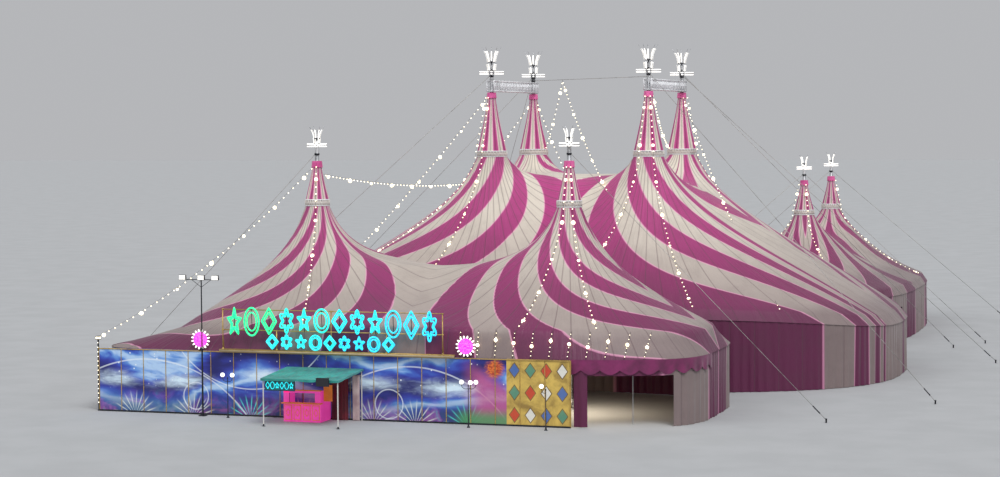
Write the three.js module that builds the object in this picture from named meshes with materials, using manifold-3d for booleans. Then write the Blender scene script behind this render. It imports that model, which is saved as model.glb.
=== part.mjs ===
import * as THREE from 'three';
import { mergeVertices } from 'three/addons/utils/BufferGeometryUtils.js';
import Module from 'manifold-3d';

// Circus big top at one tenth of its real size: one real metre is 100 mm here, +Z is up.
// The layout is written in real metres. x runs along the painted front wall, y into the
// depth, and the origin is moved under the base plate of the front right king mast.

const wasm = await Module();
wasm.setup();

const M = 100;
const SEAT = 0.3;
const CLOTH = 4;
const SLIVER = 0.06;
const ORIGIN_X = 2.02;
const ORIGIN_Y = 27.0;

const COLOR = {
  magenta: 0xb0246f,
  cream: 0xd9d2c2,
  pink: 0xe77fae,
  steel: 0x8d9096,
  dark: 0x3a3c42,
  blue: 0x3450a8,
  gold: 0xb89a5e,
  teal: 0x1f9c93,
  hot: 0xf03cc8,
  globe: 0xf2f0e6,
};

const at = (x, y, z) => [(x - ORIGIN_X) * M, (y - ORIGIN_Y) * M, z * M];

// Vector helpers on plain arrays

const sub = (a, b) => [a[0] - b[0], a[1] - b[1], a[2] - b[2]];
const add = (a, b, s = 1) => [a[0] + b[0] * s, a[1] + b[1] * s, a[2] + b[2] * s];
const cross = (a, b) => [
  a[1] * b[2] - a[2] * b[1],
  a[2] * b[0] - a[0] * b[2],
  a[0] * b[1] - a[1] * b[0],
];
const dot = (a, b) => a[0] * b[0] + a[1] * b[1] + a[2] * b[2];
const unit = (a) => {
  const n = Math.hypot(a[0], a[1], a[2]) || 1;
  return [a[0] / n, a[1] / n, a[2] / n];
};

// Geometry from points and triangles

function geometryOf(points, triangles) {
  const g = new THREE.BufferGeometry();
  g.setAttribute('position', new THREE.Float32BufferAttribute(points.flat(), 3));
  g.setIndex(triangles.flat());
  g.computeVertexNormals();
  return g;
}

// A sheet given by its outer and inner points becomes one closed body.
// Every edge that only one outer triangle uses gets a rim face.

function thicken(outer, inner, triangles) {
  const n = outer.length;
  const faces = [];
  const seen = new Map();
  for (const [a, b, c] of triangles) {
    faces.push([a, b, c]);
    faces.push([n + c, n + b, n + a]);
    for (const [p, q] of [[a, b], [b, c], [c, a]]) {
      seen.set(`${p},${q}`, [p, q]);
    }
  }
  for (const [p, q] of seen.values()) {
    if (seen.has(`${q},${p}`)) {
      continue;
    }
    faces.push([q, p, n + p]);
    faces.push([q, n + p, n + q]);
  }
  return geometryOf([...outer, ...inner], faces);
}

// Solid helpers for the booleans

function toManifold(geometry) {
  const g = geometry.clone();
  g.deleteAttribute('normal');
  g.deleteAttribute('uv');
  const merged = mergeVertices(g, 1e-4);
  const mesh = new wasm.Mesh({
    numProp: 3,
    vertProperties: new Float32Array(merged.attributes.position.array),
    triVerts: new Uint32Array(merged.index.array),
  });
  return new wasm.Manifold(mesh);
}

function fromManifold(body) {
  const mesh = body.asOriginal().simplify(SLIVER).getMesh();
  const g = new THREE.BufferGeometry();
  g.setAttribute('position', new THREE.Float32BufferAttribute(mesh.vertProperties, 3));
  g.setIndex(Array.from(mesh.triVerts));
  g.computeVertexNormals();
  return g;
}

function fuse(list) {
  return fromManifold(wasm.Manifold.union(list.map(toManifold)));
}

// A box from one corner to the other, in real metres

function box(x0, y0, z0, x1, y1, z1) {
  const a = at(x0, y0, z0);
  const b = at(x1, y1, z1);
  const g = new THREE.BoxGeometry(b[0] - a[0], b[1] - a[1], b[2] - a[2]);
  g.translate((a[0] + b[0]) / 2, (a[1] + b[1]) / 2, (a[2] + b[2]) / 2);
  return g;
}

// A straight round bar between two points in millimetres

function bar(p, q, radius, sides = 6, endRadius = radius) {
  const axis = sub(q, p);
  const length = Math.hypot(axis[0], axis[1], axis[2]);
  const g = new THREE.CylinderGeometry(endRadius, radius, length, sides, 1);
  g.translate(0, length / 2, 0);
  const turn = new THREE.Quaternion().setFromUnitVectors(
    new THREE.Vector3(0, 1, 0),
    new THREE.Vector3(...unit(axis)),
  );
  g.applyQuaternion(turn);
  g.translate(p[0], p[1], p[2]);
  return g;
}

// A flat strip along a bent path, w wide across its side direction and t thick

function strip(path, side, w, t) {
  const across = unit(side);
  const points = [];
  path.forEach((p, i) => {
    const before = path[Math.max(0, i - 1)];
    const after = path[Math.min(path.length - 1, i + 1)];
    const through = unit(cross(unit(sub(after, before)), across));
    for (const [u, v] of [[-1, -1], [1, -1], [1, 1], [-1, 1]]) {
      points.push(add(add(p, across, (u * w) / 2), through, (v * t) / 2));
    }
  });
  const faces = [];
  for (let i = 0; i + 1 < path.length; i += 1) {
    for (let j = 0; j < 4; j += 1) {
      const a = i * 4 + j;
      const b = i * 4 + ((j + 1) % 4);
      faces.push([a, b, b + 4]);
      faces.push([a, b + 4, a + 4]);
    }
  }
  const e = (path.length - 1) * 4;
  faces.push([0, 3, 2], [0, 2, 1]);
  faces.push([e, e + 1, e + 2], [e, e + 2, e + 3]);
  const g = geometryOf(points, faces);
  if (volumeOf(points, faces) < 0) {
    g.setIndex(faces.map(([a, b, c]) => [c, b, a]).flat());
  }
  return [g];
}

function volumeOf(points, faces) {
  return faces.reduce((sum, [a, b, c]) => sum + dot(points[a], cross(points[b], points[c])), 0);
}

function lathe(profile, sides, x, y) {
  const points = profile.map(([r, z]) => new THREE.Vector2(r, z));
  points.push(points[0].clone());
  const g = new THREE.LatheGeometry(points, sides);
  g.rotateX(Math.PI / 2);
  g.translate(...at(x, y, 0));
  return g;
}

// The tents

const MAIN = {
  x: -3.55,
  y: 32.0,
  a: 21.5,
  b: 14.5,
  power: 2.6,
  fold: 5.4,
  endDrop: [1.1, 1.1],
  ring: 15.04,
  ringRadius: 1.02,
  hatTop: 19.27,
  tip: 22.42,
  masts: [[-5.58, -5.0], [5.57, -5.0], [5.57, 5.02], [-5.58, 5.02]],
  hemOut: 0.6,
  hemDrop: 0.7,
};

const FOYER = {
  x: -6.32,
  y: 8.1,
  a: 16.6,
  b: 7.8,
  power: 2.6,
  fold: 5.4,
  endDrop: [0.85, 0.3],
  ring: 12.31,
  ringRadius: 0.73,
  hatTop: 14.87,
  tip: 17.01,
  masts: [[-8.1, 0], [8.1, 0]],
  hem: { left: 19.0, right: 17.2, front: 8.0, back: 8.797, powerLeft: 14, powerRight: 4, z: 3.803 },
};

const BACKSTAGE = {
  x: 7.43,
  y: 63.238,
  a: 8.1,
  b: 16.5,
  power: 2.8,
  fold: 4.2,
  endDrop: [0, 0],
  ring: 9.9,
  ringRadius: 0.78,
  hatTop: 12.46,
  tip: 14.54,
  masts: [[0, -6.15], [0, 7.35]],
  hemOut: 0.4,
  hemDrop: 0.6,
};

// Half length of the fold line in one direction, a superellipse

function foldPoint(tent, angle) {
  const c = Math.cos(angle);
  const s = Math.sin(angle);
  const e = (Math.abs(c) / tent.a) ** tent.power + (Math.abs(s) / tent.b) ** tent.power;
  const r = e ** (-1 / tent.power);
  return [r * c, r * s];
}

function planNorm(tent, x, y) {
  const e = (Math.abs(x) / tent.a) ** tent.power + (Math.abs(y) / tent.b) ** tent.power;
  return e ** (1 / tent.power);
}

function hemPoint(tent, x, y) {
  if (!tent.hem) {
    const e = 1 / planNorm({ ...tent, a: tent.a + tent.hemOut, b: tent.b + tent.hemOut }, x, y);
    return [x * e, y * e, foldHeight(tent, x) - tent.hemDrop];
  }
  const h = tent.hem;
  const power = x < 0 ? h.powerLeft : h.powerRight;
  const a = x < 0 ? h.left : h.right;
  const b = y < 0 ? h.front : h.back;
  const e = ((Math.abs(x) / a) ** power + (Math.abs(y) / b) ** power) ** (-1 / power);
  return [x * e, y * e, h.z];
}

function foldHeight(tent, x) {
  const t = Math.min(1, Math.abs(x) / tent.a);
  const drop = x < 0 ? tent.endDrop[0] : tent.endDrop[1];
  return tent.fold - drop * t ** 4;
}

// Membrane pulled up at several rings: the sum of the disc's own Green functions,
// nought on the fold line and highest at the rings

function pull(tent, x, y) {
  const k = planNorm(tent, x, y) / (Math.hypot(x, y) || 1e-9);
  const scale = Math.sqrt(tent.a * tent.b);
  const qx = x * k;
  const qy = y * k;
  let sum = 0;
  for (const [mx, my] of tent.masts) {
    const km = planNorm(tent, mx, my) / Math.hypot(mx, my);
    const cx = mx * km;
    const cy = my * km;
    const far = Math.hypot(1 - (qx * cx + qy * cy), qx * cy - qy * cx);
    const near = Math.hypot(qx - cx, qy - cy) || 1e-6;
    sum += Math.log(far / near);
  }
  return sum;
}

function ringPull(tent) {
  let sum = 0;
  const [mx, my] = tent.masts[0];
  const count = 32;
  for (let i = 0; i < count; i += 1) {
    const t = (i / count) * 2 * Math.PI;
    sum += pull(tent, mx + tent.ringRadius * Math.cos(t), my + tent.ringRadius * Math.sin(t));
  }
  return sum / count;
}

const RING_HALF = 0.2;

function roofHeight(tent, top, x, y) {
  const low = foldHeight(tent, x);
  return low + (tent.ring - RING_HALF - low) * (pull(tent, x, y) / top);
}

// Boundary of one mast's part of a roof, counterclockwise in plan.
// Corners are given as angles from the tent's centre or as points on a middle plane.

const HALF_GAP = 0.0015;

function along(from, to, count) {
  const out = [];
  for (let i = 0; i < count; i += 1) {
    const t = i / count;
    out.push([from[0] + (to[0] - from[0]) * t, from[1] + (to[1] - from[1]) * t, false]);
  }
  return out;
}

function foldArc(tent, from, to, count) {
  const fine = [];
  const steps = 400;
  let total = 0;
  let last = foldPoint(tent, from);
  fine.push([0, last]);
  for (let i = 1; i <= steps; i += 1) {
    const p = foldPoint(tent, from + ((to - from) * i) / steps);
    total += Math.hypot(p[0] - last[0], p[1] - last[1]);
    fine.push([total, p]);
    last = p;
  }
  const out = [];
  for (let i = 0; i <= count; i += 1) {
    const want = (total * i) / count;
    let j = 1;
    while (j < steps && fine[j][0] < want) {
      j += 1;
    }
    const [s0, p0] = fine[j - 1];
    const [s1, p1] = fine[j];
    const t = Math.max(0, Math.min(1, (want - s0) / (s1 - s0)));
    out.push([p0[0] + (p1[0] - p0[0]) * t, p0[1] + (p1[1] - p0[1]) * t, true]);
  }
  return out;
}

function quarterLoop(tent, sx, sy, arcCount, lineCount) {
  const g = HALF_GAP;
  const quarter = Math.PI / 2;
  const low = sx > 0 ? (sy > 0 ? 0 : 3 * quarter) : (sy > 0 ? quarter : 2 * quarter);
  const arc = foldArc(tent, low, low + quarter, arcCount).map(([x, y, on]) => [
    Math.abs(x) < g ? g * sx : x,
    Math.abs(y) < g ? g * sy : y,
    on,
  ]);
  const first = arc[0];
  const last = arc[arc.length - 1];
  const centre = [g * sx, g * sy, false];
  const loop = [...arc];
  loop.push(...along(last, centre, lineCount).slice(1));
  loop.push(...along(centre, first, lineCount));
  return loop;
}

function halfLoop(tent, alongX, side, arcCount, lineCount) {
  const g = HALF_GAP;
  const turn = alongX ? -Math.PI / 2 : 0;
  const low = turn + (side > 0 ? 0 : Math.PI);
  const arc = foldArc(tent, low, low + Math.PI, arcCount).map(([x, y, on]) => [
    alongX && Math.abs(x) < g ? g * side : x,
    !alongX && Math.abs(y) < g ? g * side : y,
    on,
  ]);
  const loop = [...arc];
  loop.push(...along(arc[arc.length - 1], arc[0], lineCount).slice(1));
  return loop;
}

// One mast's part of a roof with its skirt, as a closed sheet

function roofPart(tent, mast, loop, rows, planeX, planeY) {
  const top = ringPull(tent);
  const [mx, my] = tent.masts[mast];
  const outer = [];
  const kind = [];
  const n = loop.length;
  for (const [tx, ty] of loop) {
    const dx = tx - mx;
    const dy = ty - my;
    const reach = Math.hypot(dx, dy);
    const ux = dx / reach;
    const uy = dy / reach;
    const rx = mx + ux * tent.ringRadius;
    const ry = my + uy * tent.ringRadius;
    const miss = tent.ring - RING_HALF - roofHeight(tent, top, rx, ry);
    for (let j = 0; j <= rows; j += 1) {
      const r = tent.ringRadius * (reach / tent.ringRadius) ** (j / rows);
      const s = (r - tent.ringRadius) / (reach - tent.ringRadius);
      const x = mx + ux * r;
      const y = my + uy * r;
      let z = roofHeight(tent, top, x, y) + miss * (1 - s) ** 2;
      if (j === 0) {
        z = tent.ring - RING_HALF - SEAT / M;
      }
      outer.push(at(tent.x + x, tent.y + y, z));
      kind.push(j === 0 ? 'ring' : 'roof');
    }
  }
  const id = (k, j) => (k % n) * (rows + 1) + j;
  const triangles = [];
  for (let k = 0; k < n; k += 1) {
    for (let j = 0; j < rows; j += 1) {
      triangles.push([id(k, j), id(k, j + 1), id(k + 1, j + 1)]);
      triangles.push([id(k, j), id(k + 1, j + 1), id(k + 1, j)]);
    }
  }
  const skirt = [];
  loop.forEach(([tx, ty, on], k) => {
    if (!on) {
      return;
    }
    const [hx, hy, hz] = hemPoint(tent, tx, ty);
    skirt.push({ fold: id(k, rows), hem: outer.length });
    outer.push(at(tent.x + hx, tent.y + hy, hz));
    kind.push('hem');
  });
  for (let i = 0; i + 1 < skirt.length; i += 1) {
    const a = skirt[i];
    const b = skirt[i + 1];
    triangles.push([a.fold, a.hem, b.hem]);
    triangles.push([a.fold, b.hem, b.fold]);
  }
  const normal = outer.map(() => [0, 0, 0]);
  for (const [a, b, c] of triangles) {
    const w = cross(sub(outer[b], outer[a]), sub(outer[c], outer[a]));
    for (const v of [a, b, c]) {
      normal[v] = add(normal[v], w);
    }
  }
  const centre = at(tent.x, tent.y, 0);
  const post = at(tent.x + mx, tent.y + my, 0);
  const inner = outer.map((p, i) => {
    if (kind[i] !== 'roof') {
      const goal = kind[i] === 'ring' ? post : centre;
      const d = unit([goal[0] - p[0], goal[1] - p[1], 0]);
      return add(p, d, CLOTH);
    }
    let w = unit(normal[i]);
    if (planeX && Math.abs(p[0] - centre[0]) < 1) {
      w = unit([0, w[1], w[2]]);
    }
    if (planeY && Math.abs(p[1] - centre[1]) < 1) {
      w = unit([w[0], 0, w[2]]);
    }
    return add(p, w, -CLOTH);
  });
  return { outer, inner, triangles, skirt, id, rows };
}

const roofGeometry = (part) => thicken(part.outer, part.inner, part.triangles);

// A four-sided rope through a closed ring of points

function closedRope(loop, radius) {
  const n = loop.length;
  const points = [];
  loop.forEach((p, i) => {
    const before = loop[(i + n - 1) % n];
    const after = loop[(i + 1) % n];
    const d = unit([after[0] - before[0], after[1] - before[1], 0]);
    const out = [d[1], -d[0], 0];
    points.push(add(p, out, radius));
    points.push(add(p, [0, 0, 1], radius));
    points.push(add(p, out, -radius));
    points.push(add(p, [0, 0, -1], radius));
  });
  const faces = [];
  for (let i = 0; i < n; i += 1) {
    const i1 = (i + 1) % n;
    for (let j = 0; j < 4; j += 1) {
      const j1 = (j + 1) % 4;
      faces.push([i * 4 + j, i1 * 4 + j, i1 * 4 + j1]);
      faces.push([i * 4 + j, i1 * 4 + j1, i * 4 + j1]);
    }
  }
  return geometryOf(points, faces);
}

// Eave rope and side poles under the fold line of one tent. The rope runs just clear
// of the cloth on both sides of the fold.

function poles(parts, every) {
  const rope = 1.5;
  const gap = 0.6;
  const list = [];
  const line = [];
  for (const part of parts) {
    const touching = new Map();
    part.skirt.forEach(({ fold }) => touching.set(fold, []));
    for (const [a, b, c] of part.triangles) {
      for (const v of [a, b, c]) {
        if (touching.has(v)) {
          const p = part.inner[a];
          touching.get(v).push(unit(cross(sub(part.inner[b], p), sub(part.inner[c], p))));
        }
      }
    }
    part.skirt.forEach(({ fold }) => {
      const normals = touching.get(fold);
      const up = normals.reduce((best, m) => (m[2] > best[2] ? m : best));
      const low = normals.reduce((best, m) => (m[2] < best[2] ? m : best));
      const w = unit(add(add([0, 0, 0], up, -1), low, -1));
      const least = Math.min(...normals.map((m) => -dot(m, w)));
      line.push(add(part.inner[fold], w, (rope + gap) / Math.max(0.25, least)));
    });
  }
  const loop = line.filter((p, i) => {
    const q = line[(i + 1) % line.length];
    return Math.hypot(p[0] - q[0], p[1] - q[1]) > 5;
  });
  list.push(closedRope(loop, rope));
  loop.forEach((p, i) => {
    if (i % every === 0) {
      list.push(bar([p[0], p[1], 0], [p[0], p[1], p[2] - 0.4], 3.5, 5, 0.9));
    }
  });
  return fuse(list);
}

// Hem points of one tent, in order round the plan, with the wall's top height in mm

function hemLoop(parts) {
  const loop = [];
  for (const part of parts) {
    for (const { hem } of part.skirt) {
      loop.push({ out: part.outer[hem], in: part.inner[hem] });
    }
  }
  return loop.filter((p, i) => {
    const q = loop[(i + 1) % loop.length];
    return Math.hypot(p.out[0] - q.out[0], p.out[1] - q.out[1]) > 5;
  });
}

// Side wall that hangs under a hem. Doors are {x, y, width, height} in real metres:
// the wall is cut through from the ground to the height given.

function sideWall(loop, doors, from, to) {
  const n = loop.length;
  const length = [0];
  for (let i = 0; i < n; i += 1) {
    const p = loop[i].out;
    const q = loop[(i + 1) % n].out;
    length.push(length[i] + Math.hypot(q[0] - p[0], q[1] - p[1]));
  }
  const total = length[n];
  const sample = (s) => {
    const w = ((s % total) + total) % total;
    let i = 0;
    while (i < n - 1 && length[i + 1] <= w) {
      i += 1;
    }
    const t = (w - length[i]) / (length[i + 1] - length[i]);
    const p = loop[i];
    const q = loop[(i + 1) % n];
    return {
      out: add(p.out, sub(q.out, p.out), t),
      in: add(p.in, sub(q.in, p.in), t),
    };
  };
  const locate = (x, y) => {
    const [px, py] = at(x, y, 0);
    let best = 0;
    let least = Infinity;
    for (let s = 0; s < total; s += 4) {
      const p = sample(s).out;
      const d = Math.hypot(p[0] - px, p[1] - py);
      if (d < least) {
        least = d;
        best = s;
      }
    }
    return best;
  };
  const closed = !from;
  const start = from ? locate(...from) : 0;
  let end = to ? locate(...to) : total;
  if (!closed && end <= start) {
    end += total;
  }
  const stations = [];
  for (let turn = 0; turn < 2; turn += 1) {
    for (let i = 0; i < n; i += 1) {
      const s = length[i] + turn * total;
      if (s >= start - 1e-6 && s < end - 1e-6) {
        stations.push(s);
      }
    }
  }
  const spans = doors.map((d) => {
    let mid = locate(d.x, d.y);
    if (mid < start) {
      mid += total;
    }
    return [mid - (d.width * M) / 2, mid + (d.width * M) / 2, d.height * M];
  });
  stations.push(start);
  if (!closed) {
    stations.push(end);
  }
  for (const [s0, s1] of spans) {
    stations.push(s0, s1);
  }
  stations.sort((p, q) => p - q);
  const used = stations.filter((s, i) => i === 0 || s - stations[i - 1] > 3);
  const lift = Math.max(200, ...spans.map((s) => s[2]));
  const outer = [];
  const inner = [];
  const rows = [0, lift, null];
  for (const s of used) {
    const p = sample(s);
    for (const z of rows) {
      const zz = z === null ? p.out[2] - SEAT : z;
      outer.push([p.out[0], p.out[1], zz]);
      inner.push([p.in[0], p.in[1], zz]);
    }
  }
  const triangles = [];
  const count = used.length;
  const last = closed ? count : count - 1;
  for (let k = 0; k < last; k += 1) {
    const k1 = (k + 1) % count;
    const mid = (used[k] + (k1 === 0 ? total : used[k1])) / 2;
    const open = spans.some(([s0, s1]) => mid > s0 && mid < s1);
    for (let j = 0; j < 2; j += 1) {
      if (j === 0 && open) {
        continue;
      }
      const a = k * 3 + j;
      const b = k1 * 3 + j;
      triangles.push([a, b, b + 1]);
      triangles.push([a, b + 1, a + 1]);
    }
  }
  return thicken(outer, inner, triangles);
}

// Peak cap: the laced ring at the top of the roof and the striped hat that it carries

const CAP_SIDES = 14;

function peakCap(tent, mast) {
  const [mx, my] = tent.masts[mast];
  const rr = tent.ringRadius * M;
  const z0 = (tent.ring - RING_HALF) * M;
  const z1 = (tent.ring + RING_HALF) * M;
  const zt = tent.hatTop * M;
  const rt = 27;
  const wall = 3;
  const profile = [[rr - 6, z0], [rr + 3, z0], [rr + 3, z1]];
  const steps = 3;
  const curve = (t) => rt + (rr - 2 - rt) * (1 - t) ** 1.25;
  for (let i = 0; i <= steps; i += 1) {
    const t = i / steps;
    profile.push([curve(t), z1 + (zt - 26 - z1) * t]);
  }
  const hole = (MAST_RADIUS + SEAT) / Math.cos(Math.PI / CAP_SIDES);
  profile.push([rt + 5, zt - 20], [rt + 5, zt], [hole, zt]);
  profile.push([hole, zt - 8], [rt - wall, zt - 26]);
  for (let i = steps - 1; i >= 0; i -= 1) {
    const t = i / steps;
    profile.push([curve(t) - wall - 1, z1 + (zt - 26 - z1) * t]);
  }
  return lathe(profile, CAP_SIDES, tent.x + mx, tent.y + my);
}

// King masts: base plate, tube, crown of light strips, stays and their stakes

const MAST_RADIUS = 13;
const STAY = 1;
const HEAD_SINK = 3;

function mastBody(tent, mast, stays, high) {
  const [mx, my] = tent.masts[mast];
  const x = tent.x + mx;
  const y = tent.y + my;
  const foot = at(x, y, 0);
  const head = tent.hatTop * M;
  const tip = tent.tip * M;
  const k = high ? 1 : 0.72;
  const list = [];
  list.push(box(x - 0.32, y - 0.32, 0, x + 0.32, y + 0.32, 0.04));
  list.push(bar([foot[0], foot[1], 2], [foot[0], foot[1], head + 136 * k], MAST_RADIUS, 8));
  const p = (r, t, z) => [foot[0] + r * Math.cos(t), foot[1] + r * Math.sin(t), z];
  const zb = head + 136 * k;
  list.push(bar([foot[0], foot[1], zb - 4], [foot[0], foot[1], tip - 95 * k], 6, 6));
  for (let i = 0; i < 2; i += 1) {
    const t = (i * Math.PI) / 2 + 0.3;
    list.push(...strip([p(-84 * k, t, zb), p(84 * k, t, zb)], [0, 0, 1], 9, 9));
  }
  const low = zb + 16 * k;
  const up = tip - 104 * k;
  list.push(bar([foot[0], foot[1], low - 3], [foot[0], foot[1], low + 3], 18 * k, 6));
  list.push(bar([foot[0], foot[1], up - 3], [foot[0], foot[1], up + 3], 18 * k, 6));
  const arms = high ? 6 : 5;
  for (let i = 0; i < arms; i += 1) {
    const t = ((i + 0.5) / arms) * 2 * Math.PI;
    const side = [-Math.sin(t), Math.cos(t), 0];
    list.push(...strip([p(13 * k, t, low), p(34 * k, t, low + 44 * k)], side, 11 * k, 5 * k));
    list.push(...strip([p(13 * k, t, up), p(24 * k, t, up + 50 * k), p(64 * k, t, tip)],
      side, 12 * k, 5 * k));
  }
  for (const stay of stays) {
    const from = [foot[0], foot[1], stay.z * M];
    const stake = at(stay.x, stay.y, 0);
    const aim = unit([stake[0] - foot[0], stake[1] - foot[1], 0]);
    const start = add(from, aim, MAST_RADIUS - HEAD_SINK);
    const end = [stake[0], stake[1], 16];
    list.push(bar(start, end, STAY, 5));
    list.push(bar([stake[0], stake[1], 0], [stake[0], stake[1], 22], 6, 6));
  }
  for (const flange of high ? [high] : []) {
    list.push(bar([foot[0], foot[1], flange], [foot[0], foot[1], flange + 4], 31, 10));
  }
  return list;
}

// Open girder between two mast heads, boxed round each mast

function bridge(x, y0, y1, z0, z1) {
  const w = 0.26;
  const clear = MAST_RADIUS / M + SEAT / M;
  const list = [];
  const chord = 3;
  const out = 0.3;
  const at4 = [[-w, z0], [w, z0], [-w, z1], [w, z1]];
  for (const [dx, z] of at4) {
    list.push(bar(at(x + dx, y0 - out, z), at(x + dx, y1 + out, z), chord, 4));
  }
  const bays = 4;
  for (let i = 0; i <= bays + 2; i += 1) {
    let y = y0 + 0.3 + ((y1 - y0 - 0.6) * (i - 1)) / bays;
    if (i === 0) {
      y = y0 - out;
    }
    if (i === bays + 2) {
      y = y1 + out;
    }
    for (const s of [-w, w]) {
      list.push(bar(at(x + s, y, z0), at(x + s, y, z1), 2.4, 4));
    }
    for (const z of i < 2 || i > bays ? [z0, z1] : [z0]) {
      list.push(bar(at(x - w, y, z), at(x + w, y, z), 2.4, 4));
    }
    if (i > 0 && i <= bays) {
      const yn = y0 + 0.3 + ((y1 - y0 - 0.6) * i) / bays;
      for (const s of [-w, w]) {
        const up = i % 2 === 0;
        list.push(bar(at(x + s, y, up ? z0 : z1), at(x + s, yn, up ? z1 : z0), 2, 4));
      }
    }
  }
  return fuse(list);
}

const model = new THREE.Group();
model.name = 'circus_big_top';

function put(name, geometry, color, metal = 0, rough = 0.7) {
  const mesh = new THREE.Mesh(
    geometry,
    new THREE.MeshStandardMaterial({ color, metalness: metal, roughness: rough }),
  );
  mesh.name = name;
  model.add(mesh);
}

// Roofs and their walls

const mainSigns = [[-1, -1], [1, -1], [1, 1], [-1, 1]];
const mainNames = ['front_left', 'front_right', 'back_right', 'back_left'];
const mainParts = mainSigns.map(([sx, sy], i) =>
  roofPart(MAIN, i, quarterLoop(MAIN, sx, sy, 12, 5), 8, true, true));
mainParts.forEach((part, i) => {
  put(`main_roof_${mainNames[i]}`, roofGeometry(part), COLOR.magenta);
});

const foyerNames = ['left', 'right'];
const foyerParts = [-1, 1].map((side, i) =>
  roofPart(FOYER, i, halfLoop(FOYER, true, side, 18, 6), 7, true, false));
foyerParts.forEach((part, i) => {
  put(`foyer_roof_${foyerNames[i]}`, roofGeometry(part), COLOR.magenta);
});

const backNames = ['front', 'back'];
const backParts = [-1, 1].map((side, i) =>
  roofPart(BACKSTAGE, i, halfLoop(BACKSTAGE, false, side, 14, 6), 7, false, true));
backParts.forEach((part, i) => {
  put(`backstage_roof_${backNames[i]}`, roofGeometry(part), COLOR.magenta);
});

const mainHem = hemLoop([mainParts[0], mainParts[1], mainParts[2], mainParts[3]]);
put('main_side_wall', sideWall(mainHem, [
  { x: -9.0, y: 17, width: 4.0, height: 3.0 },
  { x: 9.5, y: 45.5, width: 2.6, height: 2.7 },
]), COLOR.cream);

const foyerHem = hemLoop([foyerParts[1], foyerParts[0]]);
put('foyer_side_wall', sideWall(foyerHem, [
  { x: 7.2, y: 1.5, width: 5.0, height: 2.9 },
  { x: -9.0, y: 16.9, width: 4.0, height: 3.0 },
], [4.2, 0.3], [-24.9, 0.6]), COLOR.magenta);

const backHem = hemLoop([backParts[1], backParts[0]]);
put('backstage_side_wall', sideWall(backHem, [
  { x: 9.5, y: 46.6, width: 2.6, height: 2.7 },
  { x: 15.9, y: 54.0, width: 2.4, height: 2.6 },
]), COLOR.pink);

put('main_side_poles', poles(mainParts, 4), COLOR.steel, 0.6, 0.5);
put('foyer_side_poles', poles([foyerParts[1], foyerParts[0]], 3), COLOR.steel, 0.6, 0.5);
put('backstage_side_poles', poles([backParts[1], backParts[0]], 3), COLOR.steel, 0.6, 0.5);

// Peaks

const tentRows = [
  [MAIN, 'main', mainNames],
  [FOYER, 'foyer', foyerNames],
  [BACKSTAGE, 'backstage', backNames],
];
for (const [tent, label, names] of tentRows) {
  tent.masts.forEach((_, i) => {
    put(`${label}_peak_cap_${names[i]}`, peakCap(tent, i), COLOR.pink);
  });
}

// Masts with their stays

const FLANGE = 1930.7;
const mainStays = [
  [{ x: -31.5, y: 23.0, z: 20.42 }],
  [{ x: 22.5, y: 16.0, z: 20.42 }],
  [{ x: 24.0, y: 40.0, z: 20.42 }, { x: 20.0, y: 50.0, z: 20.55 }],
  [{ x: -31.5, y: 42.0, z: 20.42 }, { x: -20.0, y: 53.0, z: 20.55 }],
];
MAIN.masts.forEach((_, i) => {
  const list = mastBody(MAIN, i, mainStays[i], FLANGE);
  if (i === 3) {
    const b = MAIN.masts[3];
    const c = MAIN.masts[1];
    const p = at(MAIN.x + b[0], MAIN.y + b[1], 20.25);
    const q = at(MAIN.x + c[0], MAIN.y + c[1], 20.25);
    const d = unit(sub(q, p));
    list.push(bar(add(p, d, 10), add(q, d, -(MAST_RADIUS + 0.6)), STAY));
  }
  put(`main_mast_${mainNames[i]}`, fuse(list), COLOR.steel, 0.6, 0.5);
});
const foyerStays = [
  [{ x: -30.5, y: 10.5, z: 15.3 }],
  [{ x: 17.5, y: 6.0, z: 15.3 }],
];
FOYER.masts.forEach((_, i) => {
  put(`foyer_mast_${foyerNames[i]}`, fuse(mastBody(FOYER, i, foyerStays[i], 0)),
    COLOR.steel, 0.6, 0.5);
});
const backStays = [
  [{ x: 22.0, y: 54.0, z: 12.9 }, { x: -7.5, y: 58.0, z: 12.9 }],
  [{ x: 22.0, y: 74.0, z: 12.9 }, { x: -7.5, y: 73.0, z: 12.9 }],
];
BACKSTAGE.masts.forEach((_, i) => {
  put(`backstage_mast_${backNames[i]}`, fuse(mastBody(BACKSTAGE, i, backStays[i], 0)),
    COLOR.steel, 0.6, 0.5);
});

const LEFT_X = MAIN.x + MAIN.masts[0][0];
const RIGHT_X = MAIN.x + MAIN.masts[1][0];
const FRONT_Y = MAIN.y + MAIN.masts[0][1];
const BACK_Y = MAIN.y + MAIN.masts[3][1];
put('mast_bridge_left', bridge(LEFT_X, FRONT_Y, BACK_Y, 19.38, 20.06), COLOR.steel, 0.6, 0.5);
put('mast_bridge_right', bridge(RIGHT_X, FRONT_Y, BACK_Y, 19.38, 20.06), COLOR.steel, 0.6, 0.5);

// Painted front wall with its ledge, light frame and sunbursts

const WALL_LEFT = -25.38;
const WALL_RIGHT = 4.09;
const WALL_TOP = 3.8;
put('front_painted_wall', box(WALL_LEFT, 0.04, 0, WALL_RIGHT, 0.16, WALL_TOP), COLOR.blue);

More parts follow.
